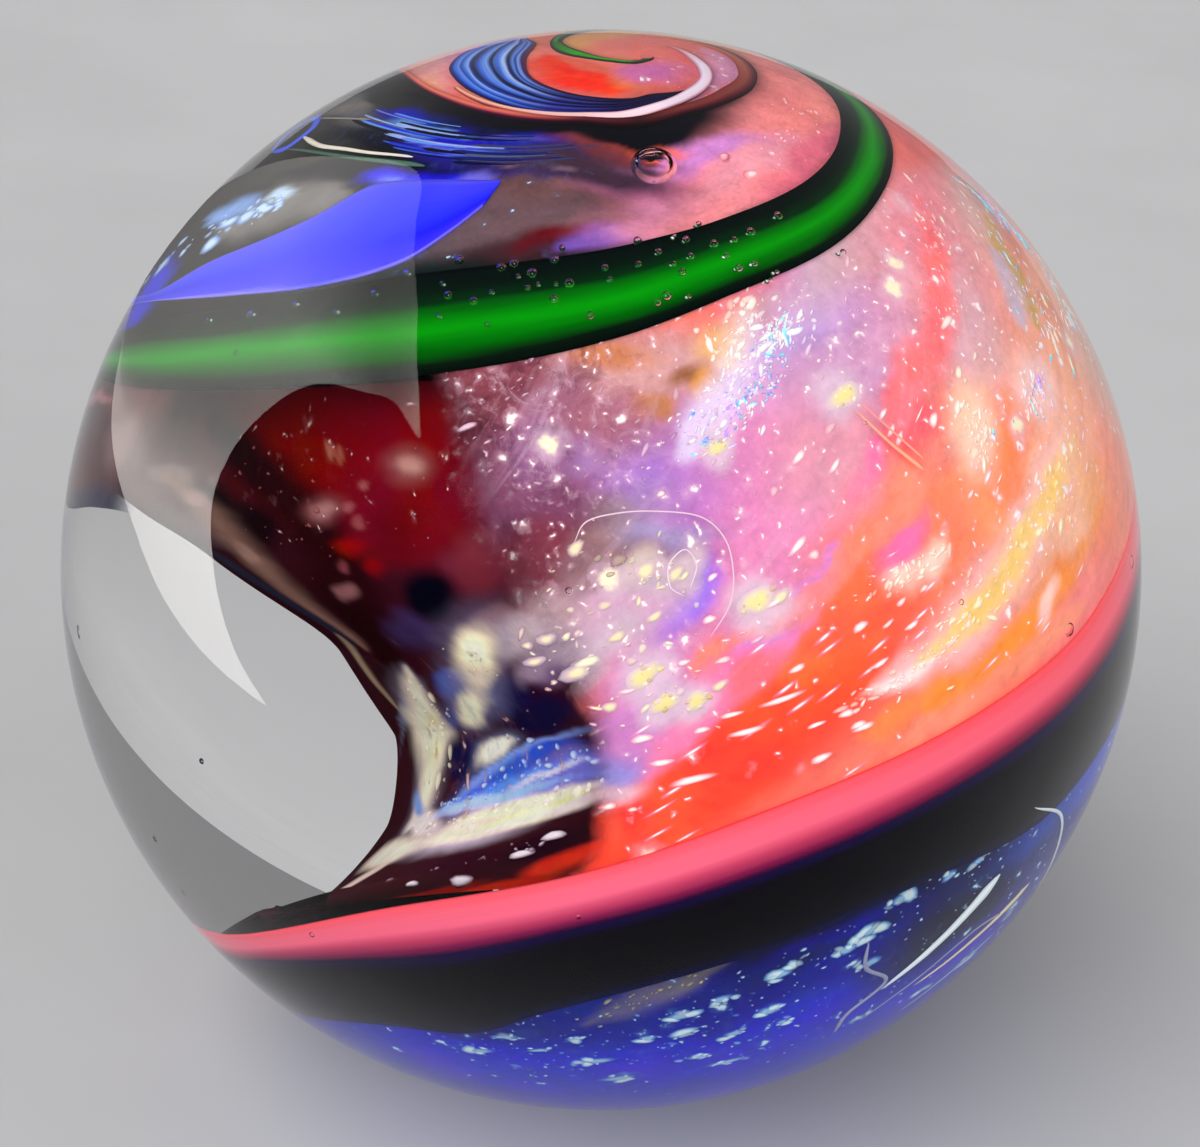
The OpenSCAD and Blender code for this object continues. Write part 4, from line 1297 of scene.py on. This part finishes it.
def dash_spots():
    """White dashes drawn out along the twist, over the ember field, and milky blobs where the field
    begins."""
    pale, rose, cream, lilac = (255, 240, 232), (250, 175, 190), (240, 222, 178), (204, 176, 180)
    dashes = [
        (10, 6.3, 2.6, 0.42), (15, 10.9, 1.8, 0.4), (18.5, 13.8, 2.4, 0.36), (7, 8, 1.4, 0.34),
        (5, 10.3, 1.1, 0.5), (10.6, 11.2, 1.0, 0.3), (13.4, 12.6, 1.3, 0.3), (22, 11, 1.0, 0.3),
        (24.6, 12.2, 0.9, 0.36), (26.5, 10.4, 1.1, 0.36), (22.6, 7.6, 1.3, 0.45), (20, 16.6, 1.1, 0.34),
        (2.4, 3.4, 0.8, 0.36), (4.6, 3.2, 0.5, 0.3), (29, 16, 1.2, 0.3), (33, 19, 1.1, 0.3),
        (8.6, 17.6, 0.8, 0.3), (12.5, 17.8, 0.9, 0.34), (16, 19.6, 0.8, 0.26), (18, 23, 1.3, 0.34),
        (20.8, 28, 1.4, 0.45), (22.5, 27, 0.7, 0.5), (11.4, 25.5, 0.6, 0.36), (11.1, 21.6, 0.8, 0.4),
        (3.4, 14.8, 0.9, 0.3), (27, 38.6, 0.9, 0.4), (26.5, 35, 1.2, 0.3), (22.2, 36.2, 1.2, 0.4),
        (34.7, 39.1, 0.9, 0.3), (35.2, 37.4, 1.0, 0.3), (41.9, 37.4, 1.1, 0.5), (47.3, 30.6, 1.0, 0.35),
        (48, 28.9, 0.8, 0.3), (43.9, 29.6, 0.7, 0.3), (27, 19.8, 1.1, 0.42), (30.2, 19.6, 0.8, 0.28),
        (25.2, 11.7, 1.0, 0.42), (27.1, 10.1, 1.2, 0.42), (32, 21.4, 0.8, 0.3), (35, 22.2, 0.7, 0.26),
        (36, 36.5, 1.0, 0.36), (18.7, 33.2, 0.6, 0.4), (5.9, 33.1, 0.5, 0.35)]
    blobs = [
        (-2.8, 27.6, 1.0, 0.7), (4.5, 26, 1.4, 0.8), (7.6, 25.8, 1.1, 0.7), (1.7, 26.8, 0.9, 0.55),
        (2, 19.8, 1.0, 0.6), (-1.6, 16.2, 1.2, 0.75), (-4.8, 19, 0.8, 0.5), (-5.7, 16.8, 0.9, 0.4),
        (18.5, 23.4, 1.3, 0.6), (-6.6, 18.2, 0.45, 0.35), (5.6, 21.8, 0.9, 0.5), (0.6, 22.6, 0.8, 0.5),
        (12.2, 15.4, 1.0, 0.5), (3.6, 17.6, 0.7, 0.4), (1.8, 13.2, 0.95, 0.5)]
    spots = [(turn, latitude, along, across, sweep_slant(latitude) + lean, core, rim)
             for placed, lean, core, rim in [(dashes, -6, pale, rose), (blobs, 0, cream, lilac)]
             for turn, latitude, along, across in placed]
    random = np.random.default_rng(21)
    for _ in range(80):
        turn = random.uniform(3, 230)
        low, high = PINK_TOP(turn), GREEN_LOW(turn)
        latitude = low + 3 + random.beta(1.3, 1.6) * (high - low - 5)
        size = random.gamma(1.6, 0.10)
        spots.append((turn, latitude, size * random.uniform(1.6, 4), 0.06 + 0.22 * size,
                      sweep_slant(latitude) + random.normal(0, 10), pale, rose))
    runs = [([(70, 57), (62, 52), (56, 47), (50, 42)], 2.0, 34, 0.13, (250, 236, 214)),
            ([(27, 50), (21, 47), (16, 43), (10, 38)], 1.7, 240, 0.11, (250, 248, 255)),
            ([(21, 52), (18, 49), (15, 46)], 1.8, 110, 0.12, (255, 246, 235)),
            ([(-14, 38), (0, 40), (10, 36)], 4.5, 110, 0.09, (226, 190, 210)),
            ([(31, 15), (39, 18.3), (48.6, 22), (58, 24.6), (69, 30.4)], 1.6, 150, 0.12, (255, 240, 205)),
            ([(47, 38), (48.6, 35), (46.6, 33)], 1.0, 70, 0.15, (255, 244, 232)),
            ([(65, 37.4), (62.5, 35.6), (60, 34)], 1.0, 44, 0.15, (250, 240, 252)),
            ([(30, 45), (38, 50), (46, 54)], 3.0, 26, 0.11, (245, 215, 228)),
            ([(80, 58), (66, 54), (56, 49), (48, 44)], 2.4, 34, 0.14, (255, 232, 226)),
            ([(28, 22.8), (33, 23.8), (39, 25.4)], 0.7, 60, 0.13, (255, 244, 226)),
            ([(26, 12.6), (32, 14.4), (38, 16)], 0.8, 60, 0.12, (255, 238, 232)),
            ([(-6, 19), (-1, 18), (4, 16), (9, 14)], 2.6, 60, 0.12, (246, 236, 204)),
            ([(-2, 27), (4, 25), (9, 25)], 1.8, 36, 0.12, (240, 230, 190))]
    return spots + strewn(random, [(*run, dimmed(run[-1], 0.92)) for run in runs], 40, swept=True,
                          stretch=(1, 3), spread=22, gamma=(2.2, 0.5))


def sky_spots():
    """Pale blue and white grains in the cobalt under the black band, and a few coral ones above the green
    band."""
    aqua, milk, steel = (110, 172, 215), (205, 224, 228), (60, 105, 190)
    placed = [
        (-7, -29, 1.8, 0.8), (4, -32.5, 2.0, 1.1), (9, -27.5, 1.4, 0.9), (16, -21, 1.4, 1.0),
        (22, -18, 1.4, 1.1), (29, -16, 1.6, 1.2), (34, -10.5, 1.5, 1.0), (7, -37, 2.4, 1.2),
        (16, -32, 1.8, 0.9), (-3, -31, 1.6, 0.6), (12, -23.5, 1.8, 1.0), (13, -27, 1.2, 0.8),
        (19, -27.5, 1.3, 1.0), (22, -24, 1.6, 1.3), (24.5, -26.5, 0.9, 0.6), (31, -14, 1.5, 1.3),
        (33, -19, 1.4, 1.2), (36, -30, 1.7, 0.8), (46, -29, 1.4, 1.0), (52, -27, 1.3, 1.0),
        (57, -22, 1.3, 1.0), (40, -9.5, 1.4, 0.9), (44, -9, 1.2, 0.9), (48, -7.5, 1.4, 1.0),
        (20, -34, 2.6, 0.9), (-10, -33, 1.6, 0.9), (1, -28, 1.2, 0.6), (-12, -28, 1.4, 0.7)]
    random = np.random.default_rng(33)
    spots = []
    for turn, latitude, along, across in placed:
        spots.append((turn, latitude, 0.9 * along, 0.75 * across, 18, (136, 182, 214), (44, 84, 176)))
        for _ in range(7):
            x, y = random.normal(0, 0.5 * along), random.normal(0, 0.5 * across)
            place = (turn + x / math.cos(math.radians(latitude)), latitude + y + 0.3 * x)
            spots.append(loose_grain(random, place, 0.34 * across, 18, milk, aqua, spread=20))
    spots += strewn(random, [
        ([(-16, -30), (0, -31), (14, -30), (30, -29)], 3.6, 110, 0.12, aqua, steel),
        ([(8, -24), (20, -18), (32, -12), (46, -8)], 2.4, 110, 0.12, milk, aqua),
        ([(2, -24), (8, -20), (15, -15.5)], 1.0, 40, 0.14, (196, 186, 120), (120, 120, 90)),
        ([(30, -20), (44, -16), (60, -14)], 5.0, 90, 0.11, milk, steel),
        ([(80, -20), (120, -12), (160, -4)], 8.0, 150, 0.16, aqua, steel),
        ([(0, -60), (60, -55), (120, -48)], 9.0, 130, 0.2, aqua, steel),
        ([(36, 68), (60, 71), (84, 73)], 1.8, 50, 0.12, (255, 218, 220), (252, 170, 176))], 60, spread=15)
    # only those that lie on the night field, and not in the clear window at the ball's back
    return [spot for spot in spots
            if spot[1] > NIGHT_LOW(spot[0]) + 4 and not (188 < spot[0] < 206 and spot[1] < -10)]


def window_spots():
    """Pale blue beads at the left-hand rim of the window above the green band."""
    bead, rim = (210, 235, 252), (110, 160, 240)
    placed = [(-87, 34.1, 2, 1.2), (-87, 37.6, 1.1, 0.7), (-82.5, 37.8, 0.9, 0.6), (-76, 41.6, 1.9, 1.1),
              (-77, 44.4, 2.0, 0.8), (-74, 46.4, 1.9, 1.0), (-72, 48.3, 1.3, 0.7)]
    return [(*place, 55, bead, rim) for place in placed] + strewn(
        np.random.default_rng(34),
        [([(-93, 27), (-84, 38), (-76, 45), (-70, 50)], 1.0, 44, 0.34, bead, rim)], 64)


def flake_spots():
    """Dichroic flakes: they glint in a belt under the green band and along the right-hand side."""
    runs = [([(26, 50), (22, 47.3), (18, 42.7), (14.3, 40.1), (10.2, 37.5)], 0.9, 170, 0.15,
             (225, 235, 255)),
            ([(24, 49), (22, 47.5)], 0.7, 24, 0.2, (190, 255, 210)),
            ([(92, 53), (93.4, 48), (93, 44.5), (89.8, 41), (86, 36), (89, 32)], 1.3, 90, 0.3, WHITE),
            ([(84, 50), (78, 45), (76, 40), (74, 36)], 2.0, 60, 0.2, (235, 215, 255)),
            ([(64, 37), (62, 35), (48, 35)], 1.2, 30, 0.18, (255, 235, 235))]
    placed = [(93, 44.5, 1.6, 0.9, (120, 250, 255)), (74, 37.6, 1.7, 0.4, (226, 206, 255)),
              (64, 36, 1.3, 0.5, (255, 245, 250)), (75.4, 34.4, 1.4, 0.4, (255, 214, 120)),
              (86, 36, 1.5, 0.5, (150, 130, 255)), (80, 41, 1.2, 0.4, (255, 226, 130))]
    return strewn(np.random.default_rng(17), [(*run, dimmed(run[-1], 0.85)) for run in runs], 80,
                  swept=True, stretch=(1.2, 2.6), spread=25, flat=0.5) + [
        (turn, latitude, along, across, sweep_slant(latitude) + 5, colour, colour)
        for turn, latitude, along, across, colour in placed]


def night_seat(turn, latitude):
    return ball_seat(turn, latitude, NIGHT_DEPTH)


def build_grains():
    cream, blue = seed_glass("cream_grains", cloudy=0.3, hue=0.0), seed_glass("blue_grains", hue=0.0)
    seeds("cream_spots", halo_spots(), ember_tint, cream, sides=16)
    seeds("white_dashes", dash_spots(), ember_tint, cream)
    seeds("sky_grains", sky_spots(), night_tint, blue, seat=night_seat)
    seeds("window_beads", window_spots(), night_tint, blue, seat=night_seat)
    seeds("dichroic_flakes", flake_spots(), ember_tint, dichroic_glass(), sides=6)


def streak_routes():
    """Fine streaks of blue in the dark glass under the spiral, which follow its pink line."""
    random = np.random.default_rng(71)
    palette = [(34, 60, 205), (96, 146, 228), (12, 16, 96), (116, 116, 206), (60, 96, 214), (6, 6, 26),
               (150, 172, 228)]
    routes = []
    for k in range(36):
        start, below = random.uniform(274, 318), random.uniform(4, 8.4)
        end = min(start + random.uniform(14, 34), 350)
        line = [(turn, float(PINK_LOW(turn)) - below + 0.07 * (turn - start))
                for turn in np.linspace(start, end, 5)]
        colour = dimmed(palette[k % len(palette)], 1.0 if end < 330 else 0.5)
        routes.append((line, random.uniform(0.1, 0.3), 0.08, colour, FIELD_DEPTH - 0.005))
    return routes


def build_threads():
    glass = seed_glass("thread_glass", cloudy=0.2, hue=0.0)
    tubes("drawn_streaks", streak_routes(), seed_glass("streak_glass", cloudy=0.6))
    pale, grey, gold = (214, 226, 232), (140, 146, 176), (232, 214, 170)
    tubes("stringers", [
        ([(36, -24), (41, -19.5), (48, -12)], 0.22, 0.75, pale),
        ([(42, -26), (50, -21.5), (57, -17.5)], 0.16, 0.5, gold),
        ([(51, -5), (58, -9), (62, -16), (66, -26)], 0.14, 0.34, pale),
        ([(44, -32), (49, -28), (55, -24)], 0.16, 0.3, (120, 170, 225)),
        ([(31, -15), (32, -19), (36, -22.5), (33, -27), (33, -31)], 0.22, 0.26, grey),
        ([(36, -30), (40, -26), (48, -20), (56, -20)], 0.1, 0.2, grey)], glass)
    tubes("window_threads", [
        ([(-88, 54.4), (-78, 56.3), (-69, 58.6), (-62, 60.1), (-52, 62.1)], 0.34, 0.16, (238, 230, 214)),
        ([(-87, 52.3), (-75, 56), (-65, 58.4), (-56, 60.3), (-47, 61.8)], 0.16, 0.34, (74, 110, 92)),
        ([(-92, 50.2), (-98, 51.6), (-97, 55), (-90, 55.4), (-87.5, 52.5), (-91, 50.3)], 0.5, 0.5,
         (78, 100, 240)),
        ([(-99, 54), (-92, 57), (-84, 60), (-78, 62)], 0.14, 0.14, (150, 142, 130), BAND_DEPTH)],
        glass)
    tubes("swirl_threads", [
        ([(-3, 28), (-2, 30), (1, 31), (5, 31.4), (10, 31), (12.6, 29), (13.4, 26), (13, 23), (11, 20)],
         0.07, 0.07, (232, 200, 216)),
        ([(30.5, 39.8), (34, 36.2), (37.6, 33)], 0.10, 0.24, (255, 170, 140)),
        ([(31.5, 40.4), (34.6, 37.4), (38, 34)], 0.08, 0.14, (255, 160, 150)),
        ([(9, 24.5), (9.6, 26.6), (8.4, 28), (6.8, 26.6), (7, 24.6), (8.4, 23.8)], 0.06, 0.06,
         (232, 212, 230))],
        glass)


def build_bubbles():
    """Tiny bubbles: round voids in the clear glass, so their faces look inwards. The placed ones each have
    a white dot painted behind them, as a painted glint."""
    random = np.random.default_rng(5)
    placed = [
        (-21, 49), (-25, 49), (-3, 54.6), (-14, 51.4), (-10, 52.3), (-25, 46.7), (2.3, 55.3), (10, 52),
        (-12.6, 52), (-14, 53), (2, 58), (-19, 50.3), (19.4, 58.2), (-8, 52.5), (-26, 52.8), (23, 59),
        (-10.5, 56.3), (5.6, 56.8), (9.3, 54.6), (-16, 52.5), (11, 56.4), (13.4, 60.2), (-19, 53),
        (25, 54.3), (18.7, 55), (-9.7, 50.6), (-2, 53.4), (6.6, 52), (-17.3, 53.7), (23.5, 53.5),
        (-4.2, 49.4), (8.6, 58.7), (10.6, 58.3), (21.6, 55.4), (-18, 47), (17.2, 56.4), (-11.2, 54.8),
        (8, 55.5), (-26.8, 50), (15.5, 57.8), (38.8, 55.4), (30, 60.6), (-40, 44), (-47, 43), (-53, 40),
        (-36, 47), (-33, 50), (-60, 37)]
    loose = 40
    sizes = random.uniform(0.08, 0.2, len(placed))
    places = placed + [(random.uniform(0, 360), math.degrees(math.asin(random.uniform(-0.9, 0.9))))
                       for _ in range(loose)]
    # radii in millimetres, and then as shares of the ball's radius
    sizes = np.concatenate([sizes, random.uniform(0.08, 0.16, loose)]) / 1000 / BALL_R
    sides, rings = 14, 7
    polar, around = np.meshgrid(np.linspace(0, math.pi, rings + 2)[1:-1],
                                np.linspace(0, 2 * math.pi, sides, False), indexing="ij")
    shell = np.stack([np.sin(polar) * np.cos(around), np.sin(polar) * np.sin(around), np.cos(polar)], -1)
    points, faces = [], []
    for place, size in zip(places, sizes):
        middle = heading(*place) * BUBBLE_DEPTH
        first = len(points)
        points += [middle + (0, 0, size), *(middle + size * shell.reshape(-1, 3)), middle - (0, 0, size)]
        last = len(points) - 1
        for i in range(sides):
            j = (i + 1) % sides
            faces.append((first, first + 1 + j, first + 1 + i))
            for a in range(first + 1, last - sides, sides):
                faces.append((a + i, a + j, a + sides + j, a + sides + i))
            faces.append((last, last - sides + i, last - sides + j))
    finish_piece(new_piece("tiny_bubbles", np.array(points), faces, {}), clear_glass("bubble_wall"))
    # white dots on the green band under the placed bubbles: painted glints, not glass of the marble
    painted_glints = [(turn - 0.2, latitude + 0.25, 0.2, 0.17, 0, WHITE, (190, 225, 205)) for turn,
              latitude in placed]
    seeds("painted_bubble_glints", painted_glints, marked((24, 70, 34), [], 0),
          seed_glass("painted_glint_glass", cloudy=0.0, hue=0.0), sides=8, seat=lambda turn,
          latitude: ball_seat(turn, latitude, PAINTED_GLINT_DEPTH))


# ---------------------------------------------------------------- studio

def build_studio():
    scene = bpy.context.scene
    scene.view_settings.view_transform = "Standard"
    floor = bpy.data.objects.new("floor", bpy.data.meshes.new("floor"))
    half, low = 60 * BALL_R, -BALL_R
    corners = [(-half, -half, low), (half, -half, low), (half, half, low), (-half, half, low)]
    floor.data.from_pydata(corners, [], [(0, 1, 2, 3)])
    scene.collection.objects.link(floor)
    s = Shader("floor_paint")
    grain = s.ramp(s.noise(s.place(), 40.0), [(0.3, (196, 196, 197)), (0.7, (202, 202, 203))])
    floor.data.materials.append(s.output(s.add(
        "BsdfPrincipled", {"Base Color": grain, "Roughness": 0.9, "Specular IOR Level": 0.1})))
    world = bpy.data.worlds.new("room")
    world.use_nodes = True
    world.node_tree.nodes["Background"].inputs["Color"].default_value = (0.22, 0.22, 0.225, 1)
    scene.world = world
    sun("key", (-0.4, -0.7, 1.0), 2.2, 50)
    sun("fill", (0.6, -0.9, 0.12), 1.5, 60)
    sun("left", (-1.0, -0.5, 0.1), 0.8, 50)
    sun("right", (1.0, -0.4, 0.12), 0.8, 60)
    crescent_light()


def sun(name, towards, strength, spread):
    """A soft lamp, spread degrees wide, that doesn't show in the glass."""
    lamp = bpy.data.lights.new(name, "SUN")
    lamp.energy = strength
    lamp.angle = math.radians(spread)
    holder = bpy.data.objects.new(name, lamp)
    holder.rotation_mode = "QUATERNION"
    holder.rotation_quaternion = Vector(towards).to_track_quat("Z", "Y")
    holder.visible_glossy = False
    holder.visible_transmission = False
    bpy.context.scene.collection.objects.link(holder)


def crescent_light():
    """A broad pale light to the left, which only shows as a reflection on the glass. Its two edges are
    smooth paths through (turn, latitude) directions, which give it the shape of a crescent. It is weaker
    where the glass reflects more, towards the rim, so that the crescent stays thin and even."""
    count, steps, away = 80, 12, 3.0
    outer = smooth_path([
        (-55, -10), (-68, -8), (-81, -5), (-96, -1), (-114, 0), (-131, 0), (-144, -4), (-154, -8),
        (-156, -5), (-146, 11), (-133, 37), (-122, 55), (-100, 59), (-69, 56), (-50, 47), (-41, 39)], count)
    inner = smooth_path([
        (-55, -10), (-63, -4), (-71, 5), (-77, 14), (-77, 25), (-71, 36), (-58, 41), (-51, 42), (-41, 39)],
                        count)
    share = np.linspace(0, 1, steps)[None, :, None]
    places = outer[:, None] * (1 - share) + inner[:, None] * share
    toward = heading(places[..., 0], places[..., 1]).reshape(-1, 3)
    # the angle at which the glass mirrors each part of the light to the camera, and its share of light
    # there
    angle = np.radians(np.linspace(0, 90, 200))
    opening = 2 * angle - np.arcsin(np.sin(angle) / away) - np.arcsin(np.sin(angle) / CAMERA_AWAY)
    cosine, bend = np.cos(angle), np.sqrt(GLASS_IOR ** 2 - np.sin(angle) ** 2)
    mirror = (((cosine - bend) / (cosine + bend)) ** 2
              + ((GLASS_IOR ** 2 * cosine - bend) / (GLASS_IOR ** 2 * cosine + bend)) ** 2) / 2
    mirror = mirror - mirror[0] * (1 - GLOSS_TINT)
    seen = np.arccos(np.clip(toward @ heading(0, CAMERA_RISE), -1, 1))
    # how bright the reflection is along its length
    wanted = (0.26, 0.26, 0.27, 0.29, 0.32, 0.28, 0.2, 0.14, 0.12, 0.13, 0.13, 0.08, 0.05, 0.05, 0.09, 0.13)
    along = np.interp(np.linspace(0, len(wanted) - 1, count), range(len(wanted)), wanted)
    strength = np.repeat(along, steps) / np.interp(seen, opening, mirror)
    warm = np.array([1, 0.97, 0.93])
    faces = quads_of(np.arange(count * steps).reshape(count, steps)).tolist()
    panel = new_piece("crescent_light", toward * away, faces, dict(tint=strength[:, None] * warm))
    s = Shader("pale_light")
    panel.data.materials.append(s.output(s.add("Emission", {"Color": s.attribute("tint"),
                                                            "Strength": 1.0})))
    panel.visible_camera = False
    panel.visible_diffuse = False
    panel.visible_transmission = False
    panel.visible_shadow = False


def build_camera():
    """The photo's view: its direction, its roll and lens, and the aim's small shift from the ball's
    centre."""
    elevation, roll = math.radians(CAMERA_RISE), math.radians(CAMERA_ROLL)
    lens = bpy.data.cameras.new("camera")
    lens.lens = CAMERA_LENS
    lens.clip_start, lens.clip_end = 0.001, 10
    camera = bpy.data.objects.new("camera", lens)
    back = Vector((0, -math.cos(elevation), math.sin(elevation)))
    turned = back.to_track_quat("Z", "Y").to_matrix() @ Matrix.Rotation(roll, 3, "Z")
    camera.rotation_mode = "QUATERNION"
    camera.rotation_quaternion = turned.to_quaternion()
    camera.location = back * (CAMERA_AWAY * BALL_R) + turned @ Vector(CAMERA_AIM) * BALL_R
    bpy.context.scene.collection.objects.link(camera)
    bpy.context.scene.camera = camera


build_camera()
build_studio()
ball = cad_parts["marble"]
ball.data.materials.clear()
ball.data.materials.append(clear_glass())
build_fields()
build_bands()
build_veil()
build_ribbons()
build_wall()
build_grains()
build_threads()
build_bubbles()
